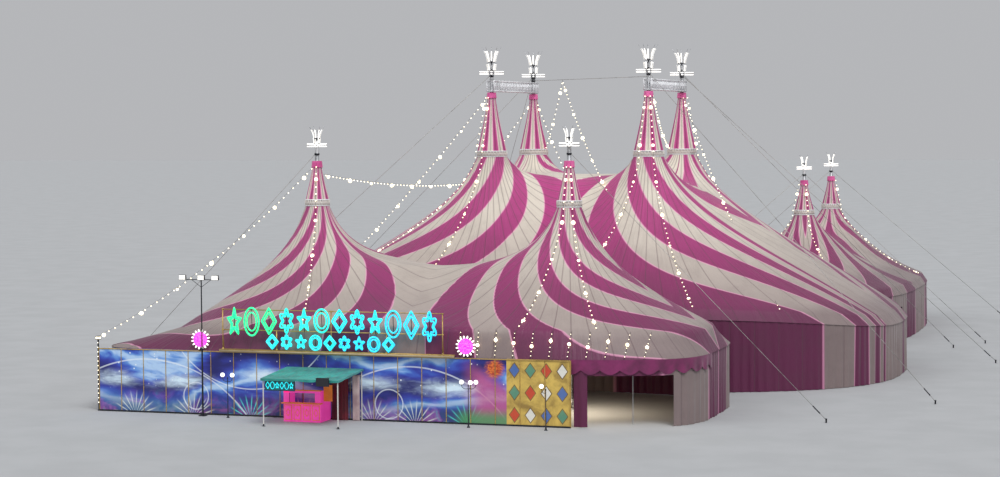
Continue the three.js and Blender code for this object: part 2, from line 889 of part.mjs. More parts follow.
function signFrame() {
  const list = [];
  const y = -0.12;
  const top = 6.3;
  const mid = 5.1;
  const low = WALL_TOP + 0.1;
  list.push(box(-17.3, -0.3, WALL_TOP + SEAT / M, -2.75, 0.07, WALL_TOP + 0.16));
  const posts = [-17.12, -13.69, -10.26, -6.84, -3.43];
  posts.forEach((x, i) => {
    const full = i % 2 === 0;
    list.push(bar(at(x, y, low), at(x, y, full ? top : mid), 3.5, 8));
  });
  for (const z of [mid, top]) {
    list.push(bar(at(posts[0], y, z), at(posts[4], y, z), 3, 8));
  }
  return fuse(list);
}
put('sign_frame', signFrame(), COLOR.gold, 0.3, 0.5);

function sunburst(x) {
  const z = 4.47;
  const y = -0.02;
  const c = at(x, y, z);
  const list = [];
  list.push(bar([c[0], c[1] - 3, c[2]], [c[0], c[1] + 3, c[2]], 45, 16));
  for (let i = 0; i < 16; i += 1) {
    const t = (i / 16) * 2 * Math.PI;
    const d = [Math.cos(t), 0, Math.sin(t)];
    list.push(...strip([add(c, d, 40), add(c, d, 59)], [0, 1, 0], 5, 8));
  }
  list.push(box(x - 0.04, -0.05, WALL_TOP + SEAT / M, x + 0.04, 0.01, z));
  list.push(box(x - 0.12, -0.05, WALL_TOP + SEAT / M, x + 0.12, 0.09, WALL_TOP + 0.05));
  return fuse(list);
}
put('sunburst_left', sunburst(-18.62), COLOR.hot);
put('sunburst_right', sunburst(-2.08), COLOR.hot);

// Ticket booth

const BOOTH = { x0: -13.0, x1: -8.45, y0: -3.7, y1: 0.002, front: 2.7, back: 2.95 };

function boothFrame() {
  const b = BOOTH;
  const list = [];
  for (const x of [b.x0, b.x1]) {
    list.push(bar(at(x, b.y0, 0), at(x, b.y0, b.front), 3.5, 8));
    list.push(bar(at(x, b.y1, 0), at(x, b.y1, b.back), 3.5, 8));
    list.push(bar(at(x, b.y0, b.front - 0.03), at(x, b.y1, b.back - 0.03), 2.5, 6));
  }
  list.push(bar(at(b.x0, b.y0, b.front - 0.03), at(b.x1, b.y0, b.front - 0.03), 2.5, 6));
  list.push(bar(at(b.x0, b.y1, b.back - 0.03), at(b.x1, b.y1, b.back - 0.03), 2.5, 6));
  list.push(box(b.x0 + 0.1, b.y0 - 0.03, 2.05, b.x0 + 1.95, b.y0 + 0.03, b.front - 0.02));
  return fuse(list);
}
put('booth_frame', boothFrame(), COLOR.dark, 0.5, 0.5);

function boothRoof() {
  const b = BOOTH;
  const s = (b.back - b.front) / (b.y1 - b.y0);
  const over = 0.12;
  const y0 = b.y0 - over;
  const y1 = b.y1 + 0.03;
  const zf = b.front - over * s + 0.005;
  const zb = b.back + 0.03 * s + 0.005;
  const t = 0.05;
  const x0 = b.x0 - over;
  const x1 = b.x1 + over;
  const outer = [at(x0, y0, zf + t), at(x1, y0, zf + t), at(x1, y1, zb + t), at(x0, y1, zb + t)];
  const inner = [at(x0, y0, zf), at(x1, y0, zf), at(x1, y1, zb), at(x0, y1, zb)];
  return thicken(outer, inner, [[0, 1, 2], [0, 2, 3]]);
}
put('booth_roof', boothRoof(), COLOR.teal);

function boothCounter() {
  const outerBox = box(-12.7, -1.5, 0, -10.4, 0.037, 1.8);
  const inside = box(-12.64, -1.44, -0.1, -10.46, 0.1, 2.0);
  const cut = toManifold(outerBox).subtract(toManifold(inside));
  return fromManifold(cut);
}
put('booth_counter', boothCounter(), COLOR.pink);

// Lamp posts on the forecourt

function globePost(x, y, height, globes) {
  const list = [];
  list.push(bar(at(x, y, 0), at(x, y, 0.05), 9, 10));
  list.push(bar(at(x, y, 0.02), at(x, y, height), 2.5, 8));
  for (const [dx, dy] of globes) {
    const g = new THREE.IcosahedronGeometry(13, 1);
    g.translate(...at(x + dx, y + dy, height + 0.06));
    list.push(g);
    if (dx !== 0 || dy !== 0) {
      list.push(bar(at(x, y, height - 0.12), at(x + dx, y + dy, height - 0.04), 1.6, 6));
    }
  }
  return fuse(list);
}
put('lamp_post_left', globePost(-16.5, -0.9, 2.45, [[-0.32, 0], [0.3, 0]]), COLOR.globe);
put('lamp_post_right', globePost(-1.55, -1.2, 2.5, [[-0.4, 0], [0.16, -0.1], [0.42, 0.1]]),
  COLOR.globe);
put('lamp_post_single', globePost(3.0, -1.2, 2.4, [[-0.25, 0]]), COLOR.globe);

function floodlightPost() {
  const x = -18.3;
  const y = -0.5;
  const list = [];
  list.push(box(x - 0.2, y - 0.2, 0, x + 0.2, y + 0.2, 0.04));
  list.push(bar(at(x, y, 0.02), at(x, y, 8.1), 4, 8));
  list.push(bar(at(x - 1.25, y, 8.05), at(x + 0.95, y, 8.05), 2.5, 6));
  for (const dx of [-1.2, 0, 0.9]) {
    list.push(box(x + dx - 0.22, y - 0.1, 8.02, x + dx + 0.22, y + 0.06, 8.32));
  }
  return fuse(list);
}
put('floodlight_post', floodlightPost(), COLOR.dark, 0.5, 0.5);

put('corner_post_left', fuse([
  bar(at(-25.434, 0.1, 0), at(-25.434, 0.1, 4.35), 5, 10),
  box(-25.55, -0.03, 4.3, -25.3, 0.23, 4.5),
]), COLOR.dark, 0.5, 0.5);

let count = 0;
model.traverse((o) => {
  if (o.isMesh) {
    count += o.geometry.index ? o.geometry.index.count / 3 : o.geometry.attributes.position.count / 3;
  }
});
model.userData.triangles = count;

export default model;
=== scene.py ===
"""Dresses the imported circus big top: striped cloth, masts with lit crowns, light strings and the front.

All layout values are in metres of the real tent. The model is one tenth of that.
"""

import bpy
import numpy as np
from mathutils import Euler, Matrix, Vector


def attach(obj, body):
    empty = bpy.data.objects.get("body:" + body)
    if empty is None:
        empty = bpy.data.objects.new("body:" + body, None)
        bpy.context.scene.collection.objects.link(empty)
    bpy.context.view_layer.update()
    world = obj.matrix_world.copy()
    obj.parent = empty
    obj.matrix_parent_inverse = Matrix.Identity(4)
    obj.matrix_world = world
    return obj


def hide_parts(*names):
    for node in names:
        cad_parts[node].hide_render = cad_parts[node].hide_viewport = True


bl_info = {
    "name": "Circus big top",
    "version": (1, 0, 0),
    "blender": (4, 5, 0),
    "location": "3D View > Sidebar > Big Top",
    "description": "Builds the striped cloth, masts, lights and front of a circus big top",
    "category": "Add Mesh",
}

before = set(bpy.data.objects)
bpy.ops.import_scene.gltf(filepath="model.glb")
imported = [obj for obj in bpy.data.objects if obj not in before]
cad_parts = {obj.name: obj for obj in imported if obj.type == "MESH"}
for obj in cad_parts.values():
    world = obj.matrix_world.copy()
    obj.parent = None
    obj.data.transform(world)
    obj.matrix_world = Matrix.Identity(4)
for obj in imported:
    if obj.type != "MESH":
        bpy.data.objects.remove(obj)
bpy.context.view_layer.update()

SCALE = 0.1
ORIGIN = np.array([2.02, 27.0, 0.0])
TURN = 2 * np.pi


def real(x, y, z):
    """Stacks three coordinates, numbers or arrays alike, into points in real metres."""
    x, y, z = np.broadcast_arrays(np.asarray(x, float), y, z)
    return np.stack([x, y, z], axis=-1)


def around(count):
    """Angles evenly spaced round a full turn."""
    return np.arange(count) / count * TURN


def circle(centre, radius, angles, z):
    """Points about a centre in plan: centre + radius (cos a, sin a), at a height."""
    return real(centre[0] + radius * np.cos(angles), centre[1] + radius * np.sin(angles), z)


def lattice(xs, ys, zs):
    """Every point of a lattice, given its places along each axis."""
    return real(*np.meshgrid(xs, ys, zs, indexing="ij")).reshape(-1, 3)


def run_along(points):
    """The distance along a line up to each of its points."""
    return np.concatenate([[0], np.cumsum(np.linalg.norm(np.diff(points, axis=0), axis=1))])


def places(points, run, want):
    """Points of a line at distances along it."""
    return np.stack([np.interp(want, run, column) for column in points.T], axis=-1)


def to_model(points):
    """Real metres to the model's metres: the origin is moved and everything is a tenth."""
    return (np.asarray(points, float) - ORIGIN) * SCALE


def in_scene(name, data):
    """A new object with its data, linked to the scene."""
    thing = bpy.data.objects.new(name, data)
    bpy.context.scene.collection.objects.link(thing)
    return thing


# Forms: points and faces are gathered here and become one mesh


class Form:
    """Gathers surfaces, each with its kind of finish, and makes them one piece."""

    def __init__(self):
        self.points = []
        self.faces = []
        self.kinds = []
        self.values = []
        self.count = 0

    def add(self, points, faces, kind=0, values=None):
        """Points in real metres, faces as one array of indices, and a finish number."""
        points = np.asarray(points, float).reshape(-1, 3)
        faces = np.asarray(faces, int)
        self.points.append(points)
        self.faces.append(faces + self.count)
        self.kinds.append(np.full(len(faces), kind))
        self.values.append(values or {})
        self.count += len(points)

    def make(self, name, finishes, slot, smooth=True, replaces=()):
        """The piece: its mesh, its finishes by name, its corner values, and what it rides on."""
        mesh = bpy.data.meshes.new(name)
        points = to_model(np.concatenate(self.points))
        sizes = np.concatenate([np.full(len(f), f.shape[1]) for f in self.faces])
        corners = np.concatenate([f.ravel() for f in self.faces])
        starts = np.concatenate([[0], np.cumsum(sizes)[:-1]])
        mesh.vertices.add(len(points))
        mesh.vertices.foreach_set("co", points.astype(np.float32).ravel())
        mesh.loops.add(len(corners))
        mesh.loops.foreach_set("vertex_index", corners.astype(np.int32))
        mesh.polygons.add(len(sizes))
        mesh.polygons.foreach_set("loop_start", starts.astype(np.int32))
        mesh.polygons.foreach_set("loop_total", sizes.astype(np.int32))
        mesh.polygons.foreach_set("material_index", np.concatenate(self.kinds).astype(np.int32))
        mesh.polygons.foreach_set("use_smooth", np.full(len(sizes), smooth))
        for finish in finishes:
            mesh.materials.append(finish_of(finish))
        names = sorted({key for values in self.values for key in values})
        for key in names:
            layer = mesh.attributes.new(key, "FLOAT", "CORNER")
            parts = [np.ravel(values[key]) if key in values else np.zeros(faces.size)
                     for values, faces in zip(self.values, self.faces)]
            layer.data.foreach_set("value", np.concatenate(parts).astype(np.float32))
        mesh.update(calc_edges=True)
        mesh.validate()
        piece = in_scene(name, mesh)
        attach(piece, "root")
        if replaces:
            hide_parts(*replaces)
        return piece


def declare_cloth(piece, rests_on):
    """Reads the area of each of a piece's faces, and does nothing more. Says that a
    piece is cloth: a square cut of the same area as its surface.
    """
    areas = np.zeros(len(piece.data.polygons), np.float32)
    piece.data.polygons.foreach_get("area", areas)


def grid_faces(rows, columns, wrap_columns=False, wrap_rows=False):
    """Four-sided faces of a grid of rows by columns points, row after row."""
    r = np.arange(rows if wrap_rows else rows - 1)
    c = np.arange(columns if wrap_columns else columns - 1)
    r, c = np.meshgrid(r, c, indexing="ij")
    r1, c1 = (r + 1) % rows, (c + 1) % columns
    faces = [r * columns + c, r * columns + c1, r1 * columns + c1, r1 * columns + c]
    return np.stack(faces, axis=-1).reshape(-1, 4)


def grid_corners(values):
    """A grid's values at the four corners of each face."""
    return np.stack([values[:-1, :-1], values[:-1, 1:], values[1:, 1:], values[1:, :-1]], axis=-1)


def unit(v):
    """Vectors of length one."""
    return v / np.maximum(np.linalg.norm(v, axis=-1, keepdims=True), 1e-12)


def close_with(form, faces, kind):
    """Adds flat faces on points that are already in the form."""
    faces = np.atleast_2d(faces)
    form.faces.append(faces)
    form.kinds.append(np.full(len(faces), kind))
    form.values.append({})


def rings(across, rise, sides):
    """Circles of radius one, each in its own plane: cos a across + sin a up."""
    a = around(sides)[None, :, None]
    return np.cos(a) * across[:, None] + np.sin(a) * rise[:, None]


def tube(form, path, radius, sides=8, kind=0, closed=False, up=(0, 0, 1)):
    """A circle carried along a path, with flat ends."""
    path = np.asarray(path, float)
    radius = np.broadcast_to(radius, len(path))
    ahead = np.roll(path, -1, 0) - np.roll(path, 1, 0)
    if not closed:
        ahead[0], ahead[-1] = path[1] - path[0], path[-1] - path[-2]
    ahead = unit(ahead)
    up = np.asarray(up, float)
    steep = np.abs(ahead @ up).max() > 0.98
    across = unit(np.cross(ahead, np.array([1.0, 0.3, 0.0]) if steep else up))
    rise = np.cross(across, ahead)
    ring = rings(across, rise, sides)
    points = path[:, None] + ring * radius[:, None, None]
    form.add(points, grid_faces(len(path), sides, True, closed)[:, ::-1], kind)
    if not closed:
        base = form.count - len(path) * sides
        order = np.arange(sides)
        close_with(form, [order + base, order[::-1] + base + (len(path) - 1) * sides], kind)


def bars(form, starts, ends, radius, sides=6, kind=0):
    """Many straight round bars at once: a circle at each start and end, joined, with flat ends."""
    starts, ends = np.atleast_2d(starts).astype(float), np.atleast_2d(ends).astype(float)
    ahead = unit(ends - starts)
    guide = np.where(np.abs(ahead[:, 2:]) > 0.9, [[1.0, 0.0, 0.0]], [[0.0, 0.0, 1.0]])
    across = unit(np.cross(ahead, guide))
    rise = np.cross(across, ahead)
    ring = rings(across, rise, sides)
    radius = np.broadcast_to(radius, len(starts))[:, None, None]
    points = np.stack([starts[:, None] + ring * radius, ends[:, None] + ring * radius], 1)
    first = np.arange(len(starts))[:, None, None] * 2 * sides
    j = np.arange(sides)
    j1 = (j + 1) % sides
    side = np.stack([j, j + sides, j1 + sides, j1], axis=-1)[None]
    form.add(points, (side + first).reshape(-1, 4), kind)
    base = form.count - 2 * sides * len(starts) + first[:, 0]
    for cap in (j[None], j[None, ::-1] + sides):
        close_with(form, cap + base, kind)


def turned(form, profile, centre, sides=32, kind=0, closed_profile=False):
    """A profile of radius and height turned about a vertical line through the centre."""
    profile = np.asarray(profile, float)
    points = circle(centre, profile[:, :1], around(sides), profile[:, 1:])
    form.add(points, grid_faces(len(profile), sides, True, closed_profile), kind)


def drum(form, centre, inner, outer, low, high, sides=20, kind=0, closed_profile=False):
    """A short cylinder or washer: the corners of its section, turned."""
    profile = [(inner, low), (outer, low), (outer, high), (inner, high)]
    turned(form, profile, centre, sides, kind, closed_profile)


def balls(form, centres, radius, sides=6, rows=4, kind=0):
    """Many small balls: the same few-sided globe at each centre, its poles closed by triangles."""
    centres = np.atleast_2d(np.asarray(centres, float))
    polar = np.arange(1, rows) / rows * np.pi
    ring = circle((0, 0), np.sin(polar)[:, None], around(sides), -np.cos(polar)[:, None]).reshape(-1, 3)
    globe = np.concatenate([[[0, 0, -1]], ring, [[0, 0, 1]]])
    radius = np.broadcast_to(radius, len(centres))[:, None, None]
    points = centres[:, None] + globe[None] * radius
    body = grid_faces(rows - 1, sides, True) + 1
    j = np.arange(sides)
    j1 = (j + 1) % sides
    low = np.stack([0 * j, j1 + 1, j + 1], axis=-1)
    top = len(globe) - 1
    high = np.stack([top + 0 * j, top - sides + j, top - sides + j1], axis=-1)
    first = np.arange(len(centres))[:, None, None] * len(globe)
    form.add(points, (body[None] + first).reshape(-1, 4), kind)
    base = form.count - len(globe) * len(centres) + first
    for caps in (low, high):
        close_with(form, (caps[None] + base).reshape(-1, 3), kind)


BLOCK_CORNERS = np.array([[0, 0, 0], [1, 0, 0], [1, 1, 0], [0, 1, 0],
                          [0, 0, 1], [1, 0, 1], [1, 1, 1], [0, 1, 1]])
BLOCK_FACES = np.array([[0, 3, 2, 1], [4, 5, 6, 7], [0, 1, 5, 4], [1, 2, 6, 5], [2, 3, 7, 6], [3, 0, 4, 7]])


def blocks(form, lows, highs, kind=0):
    """Many boxes at once, each from its lowest to its highest corner."""
    lows, highs = np.atleast_2d(lows).astype(float), np.atleast_2d(highs).astype(float)
    points = lows[:, None] + BLOCK_CORNERS[None] * (highs - lows)[:, None]
    faces = BLOCK_FACES[None] + np.arange(len(lows))[:, None, None] * 8
    form.add(points, faces.reshape(-1, 4), kind)


def strips(form, path, side, width, thick, kind=0):
    """A flat strip along a path: four corners at width across and thickness through it."""
    path = np.asarray(path, float)
    ahead = np.gradient(path, axis=0)
    across = np.broadcast_to(unit(np.asarray(side, float)), path.shape)
    through = unit(np.cross(ahead, across))
    width = np.broadcast_to(width, len(path))[:, None] / 2
    thick = np.broadcast_to(thick, len(path))[:, None] / 2
    corners = ((-1, -1), (1, -1), (1, 1), (-1, 1))
    points = np.stack([path + across * width * u + through * thick * v for u, v in corners], 1)
    faces = grid_faces(len(path), 4, True)
    form.add(points, faces, kind)
    base = form.count - 4 * len(path)
    order = np.arange(4)
    close_with(form, [order[::-1] + base, order + base + 4 * (len(path) - 1)], kind)




# Finishes: each is a node tree that works from Object coordinates or the cloth's own values


class Number:
    """A number inside a finish. The usual signs add Math nodes to the finish's material."""

    def __init__(self, finish, socket):
        self.finish = finish
        self.socket = socket

    def __add__(self, other):
        return self.finish.math("ADD", self, other)

    def __radd__(self, other):
        return self.finish.math("ADD", other, self)

    def __sub__(self, other):
        return self.finish.math("SUBTRACT", self, other)

    def __rsub__(self, other):
        return self.finish.math("SUBTRACT", other, self)

    def __mul__(self, other):
        return self.finish.math("MULTIPLY", self, other)

    def __truediv__(self, other):
        return self.finish.math("DIVIDE", self, other)

    def __pow__(self, other):
        return self.finish.math("POWER", self, other)

    def __abs__(self):
        return self.finish.math("ABSOLUTE", self)

    def __gt__(self, other):
        return self.finish.math("GREATER_THAN", self, other)


class Finish:
    """A material with a few shorthands for its nodes."""

    def __init__(self, name, rough=0.6, metal=0.0, specular=0.5):
        self.material = bpy.data.materials.new(name)
        self.material.use_nodes = True
        self.nodes = self.material.node_tree.nodes
        self.links = self.material.node_tree.links
        self.shader = self.nodes["Principled BSDF"]
        self.shader.inputs["Roughness"].default_value = rough
        self.shader.inputs["Metallic"].default_value = metal
        self.shader.inputs["Specular IOR Level"].default_value = specular

    def link(self, source, target):
        """Joins an output, or sets a plain value, to an input."""
        if isinstance(source, Number):
            source = source.socket
        if isinstance(source, bpy.types.NodeSocket):
            self.links.new(source, target)
        elif source is not None:
            target.default_value = source

    def math(self, kind, *inputs):
        """A Math node: its result."""
        node = self.nodes.new("ShaderNodeMath")
        node.operation = kind
        for value, socket in zip(inputs, node.inputs):
            self.link(value, socket)
        return Number(self, node.outputs[0])

    def fraction(self, value):
        """What is left of a number above its whole part."""
        return self.math("FRACT", value)

    def wave(self, value):
        """The sine of a number, brought between nought and one."""
        return self.math("SINE", value) * 0.5 + 0.5

    def far(self, x, z):
        """The distance from nought: the root of the sum of squares."""
        return self.math("SQRT", x * x + z * z)

    def value(self, name):
        """One of the mesh's own values."""
        node = self.nodes.new("ShaderNodeAttribute")
        node.attribute_name = name
        return Number(self, node.outputs["Fac"])

    def place(self):
        """Object coordinates."""
        return self.nodes.new("ShaderNodeTexCoord").outputs["Object"]

    def stretched(self, scale):
        """Object coordinates, scaled."""
        node = self.nodes.new("ShaderNodeMapping")
        self.link(self.place(), node.inputs["Vector"])
        node.inputs["Scale"].default_value = scale
        return node.outputs[0]

    def axes(self):
        """X, y and z of the Object coordinates."""
        node = self.nodes.new("ShaderNodeSeparateXYZ")
        self.link(self.place(), node.inputs[0])
        return [Number(self, socket) for socket in node.outputs]

    def joined(self, x, y):
        """A flat vector from two numbers."""
        node = self.nodes.new("ShaderNodeCombineXYZ")
        self.link(x, node.inputs[0])
        self.link(y, node.inputs[1])
        return node.outputs[0]

    def noise(self, scale, vector=None, detail=3.0, rough=0.55, warp=0.0):
        """Noise from 0 to 1 at a scale."""
        node = self.nodes.new("ShaderNodeTexNoise")
        self.link(vector or self.place(), node.inputs["Vector"])
        node.inputs["Scale"].default_value = scale
        node.inputs["Detail"].default_value = detail
        node.inputs["Roughness"].default_value = rough
        node.inputs["Distortion"].default_value = warp
        return Number(self, node.outputs["Fac"])

    def step(self, value, low, high):
        """Nought below low, one above high, smooth between."""
        node = self.nodes.new("ShaderNodeMapRange")
        node.interpolation_type = "SMOOTHSTEP"
        self.link(value, node.inputs["Value"])
        self.link(low, node.inputs["From Min"])
        self.link(high, node.inputs["From Max"])
        return Number(self, node.outputs[0])

    def mix(self, share, first, second):
        """Two colours mixed by a share."""
        node = self.nodes.new("ShaderNodeMix")
        node.data_type = "RGBA"
        self.link(share, node.inputs[0])
        self.link(first, node.inputs[6])
        self.link(second, node.inputs[7])
        return node.outputs[2]

    def ramp(self, share, *stops):
        """A colour ramp from (position, colour) pairs."""
        node = self.nodes.new("ShaderNodeValToRGB")
        self.link(share, node.inputs[0])
        ramp = node.color_ramp
        while len(ramp.elements) < len(stops):
            ramp.elements.new(0.5)
        for element, (position, colour) in zip(ramp.elements, stops):
            element.position = position
            element.color = colour
        return node.outputs[0]

    def bump(self, height, strength=0.3, distance=0.002):
        """Raises the surface by a height."""
        node = self.nodes.new("ShaderNodeBump")
        node.inputs["Strength"].default_value = strength
        node.inputs["Distance"].default_value = distance
        self.link(height, node.inputs["Height"])
        self.links.new(node.outputs[0], self.shader.inputs["Normal"])

    def lit(self, colour, strength):
        """Gives off light of a colour."""
        self.link(colour, self.shader.inputs["Emission Color"])
        self.shader.inputs["Emission Strength"].default_value = strength

    def done(self, colour, rough=None):
        """Sets the base colour and the roughness, and gives the material."""
        self.link(colour, self.shader.inputs["Base Color"])
        self.link(rough, self.shader.inputs["Roughness"])
        return self.material


def tint(red, green, blue):
    """A colour as on a screen, from 0 to 255, in the linear values that shaders use."""
    c = np.array([red, green, blue]) / 255
    linear = np.where(c <= 0.04045, c / 12.92, ((c + 0.055) / 1.055) ** 2.4)
    return (*linear.tolist(), 1.0)


def striped_cloth(name, bright, deep, pale, grey):
    """Coated cloth in two colours by the stripe number, welted edges, seams, and dust streaks. Both colours
    brighten towards the rings, partly as painted light, and take painted shade below the fold.

    Coloured where the stripe number's whole part is odd. The distance to an edge is the distance
    to the nearest whole number divided by its rate, in real metres.
    """
    f = Finish(name, 0.48, 0.0, 0.4)
    stripe, seam = f.value("stripe"), f.value("seam")
    coloured = f.fraction(stripe * 0.5) > 0.5
    edge = abs(f.fraction(stripe + 0.5) - 0.5) / f.value("stripe_rate")
    seam_edge = abs(f.fraction(seam + 0.5) - 0.5) / f.value("seam_rate")
    z = f.axes()[2]
    # Partly painted light: both colours run from deep and grey at the eaves to bright and pale near the
    # rings, as if lit from above; the rest is the cloth's own tone changing with height.
    high = f.step(z, 0.35, 1.45)
    streak = f.noise(3.0, f.joined(seam * 2.3, z * 2.5), 5.0, 0.65)
    patch = f.noise(5.0, None, 4.0, 0.6, 0.4)
    fleck = f.noise(46.0, None, 3.0, 0.7)
    colour = f.mix(high, deep, bright)
    colour = f.mix(f.step(streak, 0.5, 0.8) * 0.45, colour, deep)
    plain = f.mix(high, grey, pale)
    plain = f.mix(f.step(streak, 0.52, 0.82) * 0.55, plain, grey)
    plain = f.mix(f.step(fleck, 0.6, 0.8) * 0.25, plain, grey)
    welt = 1.0 - f.step(edge, 0.02, 0.06)
    line = 1.0 - f.step(seam_edge, 0.012, 0.05)
    cloth = f.mix(coloured, plain, colour)
    # Painted shade: cloth below the fold, on the skirts and walls, is darkened towards tint(62, 24, 48),
    # standing for the shadow under the eave.
    cloth = f.mix(f.step(z, 0.56, 0.47) * 0.34, cloth, tint(62, 24, 48))
    cloth = f.mix(f.step(patch, 0.35, 0.75) * 0.16, cloth, tint(70, 52, 58))
    cloth = f.mix(welt * 0.5, cloth, tint(236, 160, 196))
    cloth = f.mix(line * 0.42, cloth, tint(84, 58, 68))
    weave = f.noise(420.0, None, 2.0, 0.6)
    folds = f.noise(2.2, f.joined(seam * 1.7, z * 1.2), 4.0, 0.55)
    f.bump(folds * 1.2 + weave * 0.05 - line * 0.25, 0.55, 0.012)
    f.shader.inputs["Sheen Weight"].default_value = 0.12
    f.shader.inputs["Sheen Roughness"].default_value = 0.5
    return f.done(cloth, 0.4 + patch * 0.25)


def plain_cloth(name, colour, shade, rough=0.7):
    """One-colour cloth: a woven grain, and soft patches in a shaded copy of its colour, painted shade for
    darker folds.
    """
    f = Finish(name, rough)
    weave = f.noise(300.0, f.stretched((1, 1, 0.25)), 2.0)
    patch = f.noise(9.0, None, 4.0, 0.6)
    f.bump(patch * 0.8 + weave * 0.1, 0.4, 0.006)
    f.shader.inputs["Sheen Weight"].default_value = 0.2
    return f.done(f.mix(f.step(patch, 0.3, 0.75), colour, shade))


def metal(name, colour, worn, rough=0.42, amount=0.85):
    """Painted or bare metal: brushed grain and dull patches."""
    f = Finish(name, rough, amount)
    grain = f.noise(160.0, f.stretched((1, 1, 0.12)), 3.0, 0.7)
    patch = f.noise(14.0, None, 5.0, 0.65)
    mixed = f.mix(f.step(patch, 0.45, 0.72), colour, worn)
    mixed = f.mix(f.step(grain, 0.4, 0.75) * 0.25, mixed, worn)
    f.bump(grain, 0.12, 0.001)
    return f.done(mixed, rough - 0.1 + patch * 0.25)


def painted(name, colour, worn, rough=0.5, glow=0.0):
    """Painted board: brush grain and faded patches. A board given a glow gives off its own colour: painted
    light, standing for light that falls on it.
    """
    f = Finish(name, rough)
    grain = f.noise(90.0, f.stretched((0.3, 1, 2)), 3.0, 0.7)
    patch = f.noise(11.0, None, 4.0, 0.6)
    mixed = f.mix(f.step(patch, 0.4, 0.75) * 0.5, colour, worn)
    mixed = f.mix(f.step(grain, 0.5, 0.8) * 0.3, mixed, worn)
    f.bump(grain, 0.15, 0.001)
    if glow:
        f.lit(mixed, glow)
    return f.done(mixed)


def glowing(name, colour, core, strength):
    """A lit lamp: its colour, a paler core where the noise is high, and its own light."""
    f = Finish(name, 0.25)
    mixed = f.mix(f.step(f.noise(120.0, None, 2.0), 0.35, 0.7), colour, core)
    f.lit(mixed, strength)
    return f.done(mixed)


# Front wall's painting


def night_bands(f, x, z):
    """Blue bands bent by noise, a wave of height and place, over a mottled strip at the foot."""
    bend = f.noise(1.6, f.stretched((1, 1, 2.4)), 4.0, 0.55, 0.6)
    flow = z * 9.0 + bend * 5.2 + f.math("SINE", (x + 2.74) * 4.3) * 0.9
    sky = f.ramp(f.wave(flow * 2.2), (0.0, tint(30, 32, 104)), (0.4, tint(48, 58, 160)),
                 (0.7, tint(62, 96, 192)), (0.9, tint(104, 152, 220)), (1.0, tint(176, 206, 240)))
    ground = f.noise(6.0, f.stretched((1, 1, 1.5)), 4.0, 0.6, 1.2)
    below = f.ramp(ground, (0.3, tint(36, 84, 104)), (0.5, tint(60, 70, 120)),
                   (0.62, tint(150, 84, 150)), (0.8, tint(96, 190, 190)))
    return f.mix(f.step(z, 0.17, 0.02) * 0.75, sky, below)


def fan_of_rays(f, x, z, centre_x):
    """Rays from a point at the wall's foot: a wave of the angle, faded with the distance."""
    rays, reach, middle, sharp = 22, 0.16, 0.012, 9.0
    dx, dz = x - centre_x, z + 0.02
    far = f.far(dx, dz)
    ray = f.wave(f.math("ARCTAN2", dz, dx) * rays) ** sharp
    glow = 1.0 - f.step(far, reach * 0.6, reach)
    return f.math("MAXIMUM", 1.0 - f.step(far, 0.0, middle), ray * glow * 0.8)


def glow_band(f, x, z, centre_x, centre_z, reach):
    """A pale glow, long and low, torn at its edges by noise: a squared fall from its centre."""
    far = f.far((x - centre_x) / reach, (z - centre_z) / (reach * 0.24))
    torn = far + f.noise(9.0, f.stretched((1, 1, 3)), 4.0, 0.6, 0.8) * 0.9
    fall = 1.0 - f.step(torn, 0.35, 1.5)
    return fall * fall * 1.15


def arc_line(f, x, z, centre_x, centre_z, radius, width):
    """A thin circle: one where the distance from the centre is near the radius."""
    far = f.far(x - centre_x, z - centre_z)
    return 1.0 - f.step(abs(far - radius), width * 0.4, width)


# Each glow: its centre across and up, and its reach. Each fan: its centre and its red share.
# Each arc: its centre across and up, its radius and its width. All in the model's metres.
GLOWS = ((-2.2, 0.2, 0.34), (-1.0, 0.22, 0.3), (-0.5, 0.2, 0.36), (-2.62, 0.2, 0.3), (-1.65, 0.24, 0.3))
FANS = ((-2.5, 228), (-2.12, 228), (-1.75, 90), (-0.98, 228), (-0.72, 228), (-0.4, 90), (-1.42, 228))
ARCS = ((-2.42, -0.5, 0.82, 0.006), (-1.75, 0.72, 0.56, 0.005), (-0.75, -0.4, 0.72, 0.006),
        (-0.88, 0.1, 0.085, 0.005), (-2.1, 0.11, 0.08, 0.005))


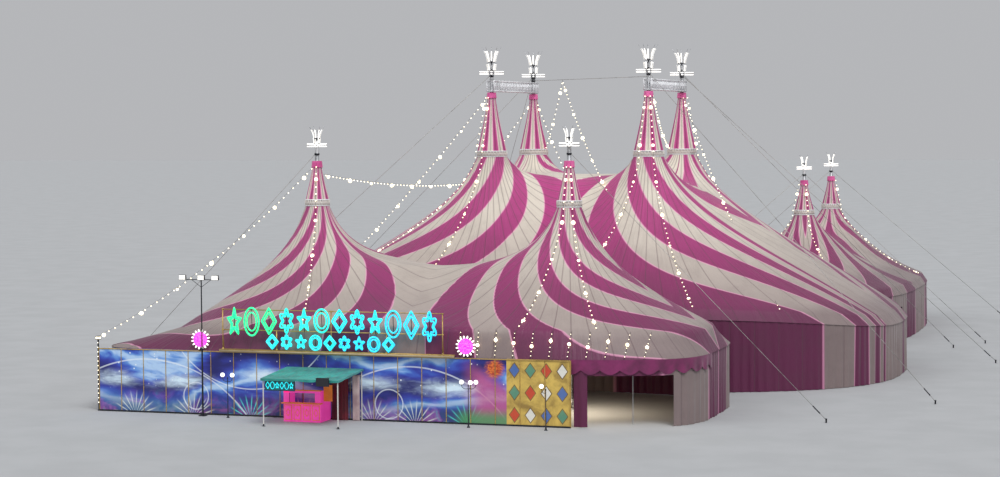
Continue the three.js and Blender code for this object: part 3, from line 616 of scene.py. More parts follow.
def front_mural(name):
    """The whole painting: night-blue bands, pale glows, fans, circles, stars and the end panel."""
    f = Finish(name, 0.42, 0.0, 0.45)
    x, _, z = f.axes()
    colour = night_bands(f, x, z)
    for glow in GLOWS:
        colour = f.mix(glow_band(f, x, z, *glow), colour, tint(214, 236, 250))
    for centre, red in FANS:
        colour = f.mix(fan_of_rays(f, x, z, centre), colour, tint(red, 236, 226))
    for arc in ARCS:
        colour = f.mix(arc_line(f, x, z, *arc) * 0.6, colour, tint(232, 240, 248))
    stars = f.nodes.new("ShaderNodeTexVoronoi")
    stars.inputs["Scale"].default_value = 22.0
    f.link(f.stretched((1, 0.001, 1)), stars.inputs["Vector"])
    star = 1.0 - f.step(stars.outputs["Distance"], 0.05, 0.13)
    colour = f.mix(star * f.step(z, 0.12, 0.25), colour, tint(240, 246, 250))
    pink = f.step(x, -0.46, -0.3) * f.step(z + x * 0.6, 0.16, 0.06)
    colour = f.mix(pink * 0.8, colour, tint(196, 92, 140))
    green = f.step(x, -0.5, -0.42) * f.step(z, 0.11, 0.03)
    colour = f.mix(green * 0.85, colour, tint(72, 150, 92))
    warm = f.noise(26.0, f.stretched((1, 1, 2)), 3.0, 0.6, 2.0)
    spot = 1.0 - f.step(f.far(x + 0.24, z - 0.32) + warm * 0.04, 0.05, 0.09)
    colour = f.mix(spot, colour, f.mix(f.step(warm, 0.4, 0.6), tint(224, 120, 52), tint(170, 60, 40)))
    colour = end_panel(f, x, z, colour)
    fleck = f.noise(60.0, None, 4.0, 0.7)
    colour = f.mix(f.step(fleck, 0.55, 0.8) * 0.3, colour, tint(52, 52, 74))
    sheen = f.noise(3.0, f.stretched((1, 1, 0.3)), 3.0)
    f.bump(sheen + fleck * 0.1, 0.3, 0.006)
    return f.done(colour, 0.32 + fleck * 0.3)


def end_panel(f, x, z, colour):
    """Yellow with rows of diamonds: |x'| + |z'| in a repeating cell, in four plain colours."""
    left = -0.17
    u, v = (x - left) / 0.094, z / 0.127
    far = abs(f.fraction(u) - 0.5) + abs(f.fraction(v) - 0.5)
    row = f.fraction((f.math("FLOOR", u) + f.math("FLOOR", v) * 3.0) * 0.25)
    wash = f.noise(8.0, None, 4.0, 0.6, 0.8)
    yellow = f.mix(f.step(wash, 0.35, 0.7), tint(214, 182, 92), tint(150, 122, 62))
    inner = f.ramp(row, (0.0, tint(196, 52, 44)), (0.24, tint(226, 226, 220)),
                   (0.49, tint(56, 104, 176)), (0.74, tint(70, 140, 120)))
    inner.node.color_ramp.interpolation = "CONSTANT"
    gem = 1.0 - f.step(far, 0.3, 0.32)
    rim = (1.0 - f.step(far, 0.36, 0.38)) * (1.0 - gem)
    panel = f.mix(gem * 0.9, yellow, inner)
    panel = f.mix(rim * 0.8, panel, tint(70, 50, 40))
    return f.mix(x > left, colour, panel)




# The three tents, in real metres from each tent's own centre

MAIN = {
    "name": "main", "x": -3.55, "y": 32.0, "a": 21.5, "b": 14.5, "power": 2.6, "fold": 5.4,
    "end_drop": (1.1, 1.1), "ring": 15.04, "ring_radius": 1.02, "hat_top": 19.27, "tip": 22.42,
    "masts": [(-5.58, -5.0), (5.57, -5.0), (5.57, 5.02), (-5.58, 5.02)],
    "parts": ["front_left", "front_right", "back_right", "back_left"],
    "hem_out": 0.6, "hem_drop": 0.7, "hat_stripes": 8, "size": 1.0, "arms": 5,
}
FOYER = {
    "name": "foyer", "x": -6.32, "y": 8.1, "a": 16.6, "b": 7.8, "power": 2.6, "fold": 5.4,
    "end_drop": (0.85, 0.3), "ring": 12.31, "ring_radius": 0.73, "hat_top": 14.87, "tip": 17.01,
    "masts": [(-8.1, 0.0), (8.1, 0.0)], "parts": ["left", "right"],
    "hem": {"left": 19.0, "right": 17.2, "front": 8.0, "back": 8.797, "z": 3.803},
    "hat_stripes": 8, "size": 0.72, "arms": 4,
}
BACKSTAGE = {
    "name": "backstage", "x": 7.43, "y": 63.238, "a": 8.1, "b": 16.5, "power": 2.8, "fold": 4.2,
    "end_drop": (0.0, 0.0), "ring": 9.9, "ring_radius": 0.78, "hat_top": 12.46, "tip": 14.54,
    "masts": [(0.0, -6.15), (0.0, 7.35)], "parts": ["front", "back"],
    "hem_out": 0.4, "hem_drop": 0.6, "hat_stripes": 8, "size": 0.72, "arms": 4,
}
TENTS = (MAIN, FOYER, BACKSTAGE)
EVERY_PEAK = [(tent, index) for tent in TENTS for index in range(len(tent["masts"]))]
RING_HALF = 0.2


def part_name(tent, piece, index):
    """The name of one mast's own piece, such as main_mast_front_left."""
    return f"{tent['name']}_{piece}_{tent['parts'][index]}"


def on_site(tent, x, y, z):
    """Points measured from a tent's centre, brought to the site."""
    return real(tent["x"] + x, tent["y"] + y, z)


def place_of(tent, index):
    """A mast's place in plan."""
    mx, my = tent["masts"][index]
    return np.array([tent["x"] + mx, tent["y"] + my])


def plan_norm(tent, x, y):
    """One on the fold line, which is a superellipse: (|x/a|^p + |y/b|^p)^(1/p)."""
    p = tent["power"]
    return ((np.abs(x) / tent["a"]) ** p + (np.abs(y) / tent["b"]) ** p) ** (1 / p)


def fold_height(tent, x):
    """Height of the fold line: it drops towards the ends with the fourth power of x/a."""
    drop = np.where(np.asarray(x) < 0, tent["end_drop"][0], tent["end_drop"][1])
    return tent["fold"] - drop * np.minimum(1, np.abs(x) / tent["a"]) ** 4


def pull(tent, x, y):
    """A membrane drawn up at each mast: the sum of log(far/near) in the plan made round."""
    k = plan_norm(tent, x, y) / np.maximum(np.hypot(x, y), 1e-9)
    qx, qy = x * k, y * k
    total = 0.0
    for mx, my in tent["masts"]:
        km = plan_norm(tent, mx, my) / np.hypot(mx, my)
        cx, cy = mx * km, my * km
        far = np.hypot(1 - (qx * cx + qy * cy), qx * cy - qy * cx)
        near = np.maximum(np.hypot(qx - cx, qy - cy), 1e-6)
        total = total + np.log(far / near)
    return total


def ring_pull(tent):
    """The mean pull round the first mast's ring."""
    ring = circle(tent["masts"][0], tent["ring_radius"], around(32), 0)
    return pull(tent, ring[:, 0], ring[:, 1]).mean()


def roof_height(tent, x, y):
    """Fold height plus the pull's share of the way up to the underside of the ring."""
    low = fold_height(tent, x)
    return low + (tent["ring"] - RING_HALF - low) * pull(tent, x, y) / ring_pull(tent)


def cloth_height(tent, mast, x, y):
    """Roof height, eased onto the level ring along each radial line of one mast."""
    mx, my = tent["masts"][mast]
    r = np.maximum(np.hypot(x - mx, y - my), tent["ring_radius"])
    ux, uy = (x - mx) / r, (y - my) / r
    edge = tent["ring_radius"]
    miss = tent["ring"] - RING_HALF - roof_height(tent, mx + ux * edge, my + uy * edge)
    reach = np.maximum(fold_reach(tent, mx, my, ux, uy), edge + 0.1)
    s = np.clip((r - edge) / (reach - edge), 0, 1)
    return roof_height(tent, x, y) + miss * (1 - s) ** 2


def fold_reach(tent, mx, my, ux, uy):
    """How far it is from a mast to the edge of its own part of the roof, by halving."""
    farthest, halvings = 60.0, 40
    low, high = np.zeros_like(ux), np.full_like(ux, farthest)
    for _ in range(halvings):
        mid = (low + high) / 2
        x, y = mx + ux * mid, my + uy * mid
        inside = plan_norm(tent, x, y) < 1
        if len(tent["masts"]) == 4 or tent["name"] == "foyer":
            inside = inside & (x * np.sign(mx) > 0)
        if len(tent["masts"]) == 4 or tent["name"] == "backstage":
            inside = inside & (y * np.sign(my) > 0)
        low, high = np.where(inside, mid, low), np.where(inside, high, mid)
    return low


def arc_points(tent, low, high, count):
    """Points evenly spaced along the fold line between two directions from the tent's centre."""
    samples = 1601
    a = np.linspace(low, high, samples)
    ray = np.stack([np.cos(a), np.sin(a)], axis=-1)
    line = ray / plan_norm(tent, ray[:, 0], ray[:, 1])[:, None]
    run = run_along(line)
    return places(line, run, np.linspace(0, run[-1], count + 1))


def straight(start, end, count):
    """Points evenly spaced from start up to, and not with, end."""
    t = np.arange(count)[:, None] / count
    return np.asarray(start) + (np.asarray(end) - start) * t


# Columns of a roof part's grid: along its arc and along its straight sides, by the masts' number

QUARTER_ARC, LONG_SIDE, SHORT_SIDE = 168, 70, 48
HALF_ARC, MIDDLE_SIDE = 220, 64


def part_boundary(tent, mast):
    """The edge of one mast's part of a roof, counterclockwise: the fold line first, then straight."""
    mx, my = tent["masts"][mast]
    quarter = np.pi / 2
    if len(tent["masts"]) == 4:
        turns = {(1, 1): 0, (-1, 1): 1, (-1, -1): 2, (1, -1): 3}[int(np.sign(mx)), int(np.sign(my))]
        arc = arc_points(tent, turns * quarter, (turns + 1) * quarter, QUARTER_ARC)
        arc[np.abs(arc) < 1e-9] = 0
        ends_along_x = abs(arc[-1][0]) > 1e-6
        inwards, outwards = (LONG_SIDE, SHORT_SIDE) if ends_along_x else (SHORT_SIDE, LONG_SIDE)
        lines = [straight(arc[-1], (0, 0), inwards)[1:], straight((0, 0), arc[0], outwards)]
    else:
        foyer = tent["name"] == "foyer"
        low = (-quarter if foyer else 0.0) + (0 if (mx if foyer else my) > 0 else np.pi)
        arc = arc_points(tent, low, low + np.pi, HALF_ARC)
        arc[np.abs(arc) < 1e-9] = 0
        lines = [straight(arc[-1], arc[0], MIDDLE_SIDE)[1:]]
    return np.concatenate([arc, *lines]), len(arc)


def hem_points(tent, x, y):
    """Where the skirt ends, out from a fold point along the ray from the tent's centre."""
    if "hem" not in tent:
        wide = {**tent, "a": tent["a"] + tent["hem_out"], "b": tent["b"] + tent["hem_out"]}
        k = 1 / plan_norm(wide, x, y)
        return x * k, y * k, fold_height(tent, x) - tent["hem_drop"]
    hem = tent["hem"]
    p = np.where(x < 0, 14.0, 4.0)
    a = np.where(x < 0, hem["left"], hem["right"])
    b = np.where(y < 0, hem["front"], hem["back"])
    k = ((np.abs(x) / a) ** p + (np.abs(y) / b) ** p) ** (-1 / p)
    return x * k, y * k, hem["z"] + 0 * x


# Stripes: each tent's lines leave the ring straight and turn away from one direction.
# Edges are the angles at the ring, in degrees, where a stripe ends and the next begins. A swirl is
# the angle that its lines turn from, how fast they turn with the log and the length of the way, and
# its edges. The near edges are those of the part that faces the camera. A main part is counted
# round from one angle to another, and its lines turn back near the last one.

COUNT_FROM, TURN_BACK, COUNT_TO = -85.0, 260.0, 275.0
OTHERS_FROM, OTHERS_TO = -60.0, 180.0

MAIN_EDGES = [-85, -65, -50, -39, -33, -22, -13, -2.5, 1, 2.1, 2.8, 15, 34, 62, 88, 122, 160, 190, 214, 229,
              243, 275]
NEAR_EDGES = [-85, -65, -50, -39, -33, -22, -5.5, 0.6, 24, 59, 99, 131, 165, 194, 221, 234, 246, 275]
FAR_EDGES = [-85, -70, -55, -40, -22, -4, 14, 32, 50, 68, 86, 104, 124, 144, 164, 184, 204, 224, 244, 275]
SWIRLS = {
    "front_left": (3.0, (1.088, 0.283), MAIN_EDGES),
    "front_right": (0.0, (1.331, 0.17), NEAR_EDGES),
    "back_right": (-40.0, (0.55, 0.12), FAR_EDGES),
    "back_left": (3.0, (1.088, 0.283), MAIN_EDGES),
}
FOYER_EDGES = [-60, -22, 22, 46.7, 74.4, 96.9, 115.5, 130.3, 143.2, 155, 163.7, 169, 174, 186]
BACKSTAGE_EDGES = [-60, -14.4, 14.4, 30.9, 47.6, 62, 78.5, 95, 111.5, 128, 144.5, 161, 172, 188]


def line_start(phi, r, ring, low, high, k_log, k_far):
    """The angle at the ring of the swirl line through (r, phi), from the tangent of its share."""
    turn = k_log * np.log(r / ring) + k_far * (r - ring)
    share = np.clip((phi - low) / (high - low), 1e-6, 1 - 1e-6)
    return low + (high - low) * np.arctan(np.tan(share * np.pi / 2) * np.exp(turn / 2)) / (np.pi / 2)


def stripe_number(tent, mast, x, y):
    """Counts stripes round a mast: coloured where the number's whole part is odd."""
    mx, my = tent["masts"][mast]
    dx, dy = x - mx, y - my
    ring = tent["ring_radius"]
    r = np.maximum(np.hypot(dx, dy), ring)
    if tent["name"] == "main":
        phi = np.degrees(np.arctan2(dy * np.sign(my), dx * np.sign(mx)))
        phi = np.where(phi < COUNT_FROM, phi + 360, phi)
        parting, rates, edges = SWIRLS[tent["parts"][mast]]
        start = line_start(phi, r, ring, parting, TURN_BACK, *rates)
        before = line_start(phi, r, ring, COUNT_FROM, parting, *rates)
        after = line_start(phi, r, ring, COUNT_TO, TURN_BACK, *rates)
        start = np.where(phi < parting, before, np.where(phi > TURN_BACK, after, start))
        return np.interp(start, edges, [0.5, *range(1, len(edges) - 1), len(edges) - 1.5])
    if tent["name"] == "foyer":
        phi = np.degrees(np.abs(np.arctan2(dy, dx * np.sign(mx))))
        start = line_start(phi, r, ring, OTHERS_FROM, OTHERS_TO, 0.303, 0.379)
        return np.interp(start, FOYER_EDGES, range(len(FOYER_EDGES)))
    lean = np.radians(13)
    dy = dy * np.sign(my)
    phi = np.degrees(np.abs(np.arctan2(dx * np.cos(lean) - dy * np.sin(lean),
                                       dy * np.cos(lean) + dx * np.sin(lean))))
    start = line_start(phi, r, ring, OTHERS_FROM, OTHERS_TO, 0.42, 0.095)
    return np.interp(start, BACKSTAGE_EDGES, range(len(BACKSTAGE_EDGES)))


# Roof cloth

GORES = {"main": 46, "foyer": 44, "backstage": 40}
ROOF_ROWS = 56
SKIRT_ROWS = 8
STRIPE_JUMP = 16


def swirl_values(tent, mast, x, y):
    """Stripe number, seam number, and how fast both change for each real metre in plan."""
    mx, my = tent["masts"][mast]
    step = 0.02
    rise_x = (stripe_number(tent, mast, x + step, y) - stripe_number(tent, mast, x - step, y)) / step / 2
    rise_y = (stripe_number(tent, mast, x, y + step) - stripe_number(tent, mast, x, y - step)) / step / 2
    gores = GORES[tent["name"]]
    return {
        "stripe": stripe_number(tent, mast, x, y),
        "stripe_rate": np.clip(np.hypot(rise_x, rise_y), 0.02, 12),
        "seam": np.arctan2(y - my, x - mx) / TURN * gores,
        "seam_rate": gores / TURN / np.maximum(np.hypot(x - mx, y - my), 0.1),
    }


def unwrap_columns(values, period):
    """Undoes a jump by whole periods along the columns, so that a face never spans one."""
    jumps = np.round(np.diff(values, axis=1, prepend=values[:, :1]) / period)
    return values - period * np.cumsum(jumps, 1)


def reversed_corners(values, tent):
    """Values at the corners of a grid's faces, in the order of a reversed face.

    Where the main tent's stripe number starts again, both sides take the smaller change, so that
    no stripe is squeezed into one face.
    """
    found = {key: grid_corners(grid)[..., ::-1] for key, grid in values.items()}
    if tent["name"] == "main":
        stripe = found["stripe"]
        wide = np.ptp(stripe, axis=-1, keepdims=True) > STRIPE_JUMP / 2
        found["stripe"] = np.where(wide & (stripe > STRIPE_JUMP / 2), stripe - STRIPE_JUMP, stripe)
    return found


def roof_sheet(tent, mast):
    """One mast's cloth: rows at ring (reach/ring)^(j/rows) out along radial lines, then the skirt.

    The height is the cloth height. Pleats are a cosine round the ring that dies away from it.
    """
    mx, my = tent["masts"][mast]
    ring = tent["ring_radius"]
    edge, arc = part_boundary(tent, mast)
    n = len(edge)
    dx, dy = edge[:, 0] - mx, edge[:, 1] - my
    reach = np.hypot(dx, dy)
    ux, uy = dx / reach, dy / reach
    share = (np.arange(ROOF_ROWS + 1) / ROOF_ROWS)[:, None]
    r = ring * (reach / ring) ** share
    x, y = mx + ux * r, my + uy * r
    miss = tent["ring"] - RING_HALF - roof_height(tent, mx + ux * ring, my + uy * ring)
    s = (r - ring) / (reach - ring)
    z = roof_height(tent, x, y) + miss * (1 - s) ** 2
    z[0] = tent["ring"] - RING_HALF - 0.003
    angle = np.arctan2(dy, dx)
    gores = GORES[tent["name"]]
    pleat_depth, pleat_reach, pleat_start = 0.05, 1.1, 0.15
    near = np.exp(-(r - ring) / pleat_reach) * np.minimum(1, (r - ring) / pleat_start)
    z = z + pleat_depth * near * np.cos(gores * angle)
    form = Form()
    form.add(on_site(tent, x, y, z), grid_faces(ROOF_ROWS + 1, n, True)[:, ::-1])
    values = swirl_values(tent, mast, x, y)
    wrapped = {k: np.concatenate([v, v[:, :1]], 1) for k, v in values.items()}
    wrapped["seam"] = unwrap_columns(wrapped["seam"], gores)
    form.values[-1] = reversed_corners(wrapped, tent)
    add_skirt(form, tent, mast, edge[:arc], z[-1, :arc], ROOF_ROWS * n)
    piece = form.make(part_name(tent, "roof_cloth", mast), ["striped cloth"], slot="striped_cloth",
                      replaces=[part_name(tent, "roof", mast)])
    declare_cloth(piece, [part_name(tent, "mast", mast)])


def add_skirt(form, tent, mast, fold, fold_z, first):
    """The strip below the fold line: straight from fold to hem. Its top row is the roof's last."""
    hx, hy, hz = hem_points(tent, fold[:, 0], fold[:, 1])
    t = (np.arange(SKIRT_ROWS + 1) / SKIRT_ROWS)[:, None]
    x = fold[:, 0] + (hx - fold[:, 0]) * t
    y = fold[:, 1] + (hy - fold[:, 1]) * t
    z = fold_z + (hz - fold_z) * t
    count = len(fold)
    points = on_site(tent, x, y, z)[1:].reshape(-1, 3)
    order = np.concatenate([[first + np.arange(count)],
                            form.count + np.arange(SKIRT_ROWS * count).reshape(SKIRT_ROWS, count)])
    faces = grid_corners(order).reshape(-1, 4)[:, ::-1]
    values = swirl_values(tent, mast, x, y)
    values["seam"] = unwrap_columns(values["seam"], GORES[tent["name"]])
    form.points.append(points)
    form.faces.append(faces)
    form.kinds.append(np.zeros(len(faces)))
    form.values.append(reversed_corners(values, tent))
    form.count += len(points)


# Peak caps: the striped hat, its scalloped collar, and the laced ring under it


def hat_radius(tent, t):
    """From just inside the ring to the collar with the 1.25th power of what is left."""
    foot = tent["ring_radius"] - 0.02
    return 0.27 + (foot - 0.27) * (1 - t) ** 1.25


def peak_hat(tent, mast):
    """The hat's surface in height and angle. Each stripe is a slight fold that bulges outwards."""
    stripes = tent["hat_stripes"] * 2
    low, high = tent["ring"] + RING_HALF, tent["hat_top"] - 0.26
    rows, sides = 40, stripes * 8
    t = (np.arange(rows + 1) / rows)[:, None]
    a = np.arange(sides + 1)[None] / sides * TURN
    fold_depth, wave_depth = 0.028, 0.012
    folds = 1 + fold_depth * np.cos(stripes * a) * (1 - 0.5 * t)
    waves = 1 + wave_depth * np.sin(3 * a + 9 * t) * (1 - t)
    r = hat_radius(tent, t) * folds * waves
    points = circle(place_of(tent, mast), r, a, low + (high - low) * t)
    form = Form()
    form.add(points[:, :-1], grid_faces(rows + 1, sides, True))
    stripe, rate = a / TURN * stripes + 0 * t, stripes / TURN / r
    flat = {"stripe": stripe, "stripe_rate": rate, "seam": stripe + 0.5, "seam_rate": rate}
    form.values[-1] = {k: grid_corners(v) for k, v in flat.items()}
    piece = form.make(part_name(tent, "peak_hat", mast), ["striped cloth"], slot="striped_cloth",
                      replaces=[part_name(tent, "peak_cap", mast)])
    declare_cloth(piece, [part_name(tent, "mast", mast)])


def peak_collar(tent, mast):
    """A short skirt round the top of the hat, its lower edge in scallops: height = |sin| waves."""
    centre = place_of(tent, mast)
    sides, rows, scallops = 96, 6, 12
    a = around(sides)[None]
    t = (np.arange(rows + 1) / rows)[:, None]
    top = tent["hat_top"]
    edge = top - 0.34 - 0.07 * np.abs(np.sin(a * scallops / 2))
    z = top + (edge - top) * t
    r = 0.31 + 0.03 * t + 0.008 * np.cos(scallops * a) * t
    form = Form()
    points = circle(centre, r, a, z)
    form.add(points, grid_faces(rows + 1, sides, True)[:, ::-1])
    inner = circle(centre, 0.14, a, top + 0.01)
    form.add(np.concatenate([points[:1], inner]), grid_faces(2, sides, True))
    piece = form.make(part_name(tent, "peak_collar", mast), ["collar cloth"], slot="pink_cloth")
    declare_cloth(piece, [part_name(tent, "mast", mast)])


def ring_lacing(tent, mast):
    """Two hoops, a pale band between them, and a rope that zigzags round through both."""
    centre = place_of(tent, mast)
    ring, middle = tent["ring_radius"], tent["ring"]
    low, high = middle - RING_HALF, middle + RING_HALF
    sides, laces = 72, 60
    form = Form()
    for z in (low + 0.02, high - 0.02):
        tube(form, circle(centre, ring, around(sides), z), 0.036, 8, 0, True)
    z = middle + np.where(np.arange(laces) % 2 == 0, -1, 1) * (RING_HALF - 0.03)
    zigzag = circle(centre, ring + 0.035, around(laces), z)
    bars(form, zigzag, np.roll(zigzag, -1, 0), 0.013, 5, 1)
    drum(form, centre, ring - 0.045, ring - 0.03, low, high, sides, 2, True)
    spokes = around(6) + 0.2
    hub = circle(centre, 0.13, spokes, middle - 0.1)
    rim = circle(centre, ring, spokes, middle - 0.16)
    bars(form, hub, rim, 0.03)
    drum(form, centre, 0.135, 0.2, middle - 0.16, middle + 0.02, 20, 0, True)
    finishes = ["white steel", "lacing rope", "ring band"]
    form.make(part_name(tent, "ring", mast), finishes, slot="mast_steel")


# Masts with crowns of light, stays and bridges

MAST_RADIUS = 0.13
STAYS = {
    "main_front_left": [(-31.5, 23.0, 20.42)],
    "main_front_right": [(22.5, 16.0, 20.42)],
    "main_back_right": [(24.0, 40.0, 20.42), (20.0, 50.0, 20.55)],
    "main_back_left": [(-31.5, 42.0, 20.42), (-20.0, 53.0, 20.55)],
    "foyer_left": [(-30.5, 10.5, 15.3)],
    "foyer_right": [(17.5, 6.0, 15.3)],
    "backstage_front": [(22.0, 54.0, 12.9), (-7.5, 58.0, 12.9)],
    "backstage_back": [(22.0, 74.0, 12.9), (-7.5, 73.0, 12.9)],
}


def bow(start, middle, end, count):
    """A curve of the second degree through a start and an end, drawn towards a middle point."""
    t = np.linspace(0, 1, count)[:, None]
    start, middle, end = np.array([start, middle, end])
    return (1 - t) ** 2 * start + 2 * t * (1 - t) * middle + t ** 2 * end


def arm_curve(place, angle, k, stations, count):
    """A bow in the upright plane of one arm, from three pairs of radius over size and height."""
    return bow(*(circle(place, radius * k, angle, z) for radius, z in stations), count)


def light_bars(form, centre, k):
    """Two crossed bars, with a lamp above and below each half of both."""
    for t in (0.3, 0.3 + np.pi / 2):
        along = np.array([np.cos(t), np.sin(t), 0.0])
        ends = np.array([centre - along * 0.84 * k, centre + along * 0.84 * k])
        strips(form, ends, (0, 0, 1), 0.1, 0.08)
        for sign in (-1, 1):
            lamp = np.array([centre + along * sign * 0.2 * k, centre + along * sign * 0.84 * k])
            for lift in (0.075, -0.075):
                strips(form, lamp + [0, 0, lift], (0, 0, 1), 0.07, 0.12, 1)


def crown(form, place, k, low, up, tip, arms):
    """Two tiers of lit feathers round the mast, and a thin wire that carries on from each tall one."""
    tall_steps = 14
    swell = 0.085 * k * (0.7 + 0.3 * np.sin(np.linspace(0.35, 2.7, tall_steps)))
    for t in (np.arange(arms) + 0.5) / arms * TURN:
        out, side = np.array([np.cos(t), np.sin(t), 0.0]), (-np.sin(t), np.cos(t), 0)
        short = [(0.25, low), (0.25, low + 0.25 * k), (0.31, low + 0.44 * k)]
        tall = [(0.25, up), (0.3, up + 0.5 * k), (0.5, tip - 0.3 * k)]
        wire = [(0.49, tip - 0.34 * k), (0.56, tip - 0.2 * k), (0.7, tip)]
        for stations, steps, wide in ((short, 8, 0.07 * k), (tall, tall_steps, swell)):
            path = arm_curve(place, t, k, stations, steps)
            strips(form, path, side, wide + 0.035 * k, 0.03 * k, 2)
            for shift in (-0.03 * k, 0.03 * k):
                strips(form, path + out * shift, side, wide, 0.04 * k, 1)
        tube(form, arm_curve(place, t, k, wire, 5), 0.014 * k, 5)


def mast(tent, index):
    """Base plate, tube with joint flanges, crossed light bars, and two tiers of lit feathers."""
    place = x, y = place_of(tent, index)
    k, head, tip = tent["size"], tent["hat_top"], tent["tip"]
    bar = head + 1.36 * k
    form = Form()
    blocks(form, [x - 0.32, y - 0.32, 0], [x + 0.32, y + 0.32, 0.04])
    drum(form, place, 0, MAST_RADIUS, 0.02, bar, 24)
    for z in np.arange(3.2, head - 1.0, 3.2):
        drum(form, place, 0.1, 0.19, z - 0.04, z + 0.04)
    braces = around(4) + np.pi / 4
    bars(form, circle(place, 0.3, braces, 0.05), circle(place, 0.13, braces, 0.6), 0.03)
    if tent["name"] == "main":
        drum(form, place, 0.1, 0.31, 19.31, 19.345, 24)
    drum(form, place, 0, 0.06, bar - 0.04, tip - 0.95 * k, 12)
    light_bars(form, np.array([x, y, bar]), k)
    low, up = bar + 0.16 * k, tip - 1.04 * k
    for z in (low, up):
        drum(form, place, 0, 0.26 * k, z - 0.03, z + 0.03, 18, 2)
    crown(form, place, k, low, up, tip, tent["arms"])
    if tent["name"] != "main":
        balls(form, [x, y, bar + 0.05], 0.17, 16, 9, 1)
    node = part_name(tent, "mast", index)
    finishes = ["mast steel", "crown light", "dark metal"]
    form.make(f"{node}_tube", finishes, slot="mast_steel", replaces=[node])


def stay_ropes(tent, index):
    """Taut ropes from the mast to stakes, each with a turnbuckle above its stake."""
    x, y = place_of(tent, index)
    part = f"{tent['name']}_{tent['parts'][index]}"
    form = Form()
    lines = [(np.array([x, y, z]), np.array([sx, sy, 0.16])) for sx, sy, z in STAYS[part]]
    if part == "main_back_left":
        between = 20.25
        lines.append((np.array([x, y, between]), np.array([*place_of(MAIN, 1), between])))
    for start, end in lines:
        ahead = unit(end - start)
        begin = start + unit(ahead * [1, 1, 0]) * 0.12
        stop = end if end[2] < 1 else end - ahead * 0.14
        bars(form, begin, stop, 0.016, 8, 0)
        if end[2] < 1:
            back = -unit(stop - begin)
            bars(form, stop + back * 0.5, stop + back * 1.1, 0.035, 8, 1)
            stake = [(0, 0), (0.05, 0), (0.05, 0.2), (0.065, 0.2), (0.065, 0.24), (0, 0.24)]
            turned(form, stake, end[:2], 12, 1)
        drum(form, (x, y), 0.125, 0.16, begin[2] - 0.05, begin[2] + 0.05, 20, 1, True)
    form.make(f"{part}_stays", ["steel rope", "dark metal"], slot="rope_steel")


def girder(x, y0, y1, z0, z1, name, node):
    """An open box girder: four chords, a post every half metre, and rails with slats between."""
    form = Form()
    w, out, count = 0.26, 0.3, 28
    ends = [(x + s * w, z) for s in (-1, 1) for z in (z0, z1)]
    for cx, cz in ends:
        tube(form, real(cx, np.array([y0 - out, y1 + out]), cz), 0.05, 12)
    ys = np.linspace(y0 - out, y1 + out, count)
    clear = np.minimum(np.abs(ys - y0), np.abs(ys - y1)) > 0.17
    for s in (-w, w):
        bars(form, real(x + s, ys, z0), real(x + s, ys, z1), 0.028, 6)
        bars(form, real(x + s, ys[:-1:2], z0), real(x + s, ys[1::2], z1), 0.014, 6)
        tube(form, real(x + s, np.array([y0 - out, y1 + out]), (z0 + z1) / 2), 0.02, 8)
    bars(form, real(x - w, ys[clear], z0), real(x + w, ys[clear], z0), 0.02, 6)
    bars(form, real(x - w, ys[clear][::3], z1), real(x + w, ys[clear][::3], z1), 0.02, 6)
    floor = np.linspace(y0 + 0.35, y1 - 0.35, 30)
    blocks(form, real(x - w + 0.03, floor - 0.11, z0 + 0.02), real(x + w - 0.03, floor + 0.11, z0 + 0.045))
    form.make(name, ["white steel"], slot="mast_steel", replaces=[node])


# Side walls: cloth hung in folds under each hem


def hem_loop(tent):
    """The hem as a closed line with its height, evenly spaced, counterclockwise."""
    fold = arc_points(tent, 0, TURN, 1440)[:-1]
    points = on_site(tent, *hem_points(tent, fold[:, 0], fold[:, 1]))
    closed = np.concatenate([points, points[:1]])
    return closed, run_along(closed[:, :2])


def on_loop(closed, run, s):
    """Points of a closed line at distances along it, and the direction that faces outwards."""
    s = np.mod(s, run[-1])
    after, before = (places(closed[:, :2], run, np.mod(s + shift, run[-1])) for shift in (0.2, -0.2))
    ahead = unit(after - before)
    return places(closed, run, s), np.stack([ahead[..., 1], -ahead[..., 0]], axis=-1)


def nearest_run(closed, run, x, y):
    """The distance along a closed line at its point nearest to a place in plan."""
    return float(run[:-1][np.argmin(np.hypot(closed[:-1, 0] - x, closed[:-1, 1] - y))])


def wall_values(tent, x, y, s):
    """The roof's stripes carried straight down from the hem, and a seam every 1.6 metres."""
    side_x = np.sign(x) if tent["name"] != "backstage" else np.zeros_like(x)
    side_y = np.sign(y) if tent["name"] != "foyer" else np.zeros_like(y)
    stripe, rate = np.zeros_like(x), np.ones_like(x)
    for index, (mx, my) in enumerate(tent["masts"]):
        mine = (side_x * mx >= 0) & (side_y * my >= 0)
        found = swirl_values(tent, index, x, y)
        stripe = np.where(mine, found["stripe"], stripe)
        rate = np.where(mine, found["stripe_rate"], rate)
    return {"stripe": stripe, "stripe_rate": rate, "seam": s / 1.6, "seam_rate": 0 * s + 1 / 1.6}


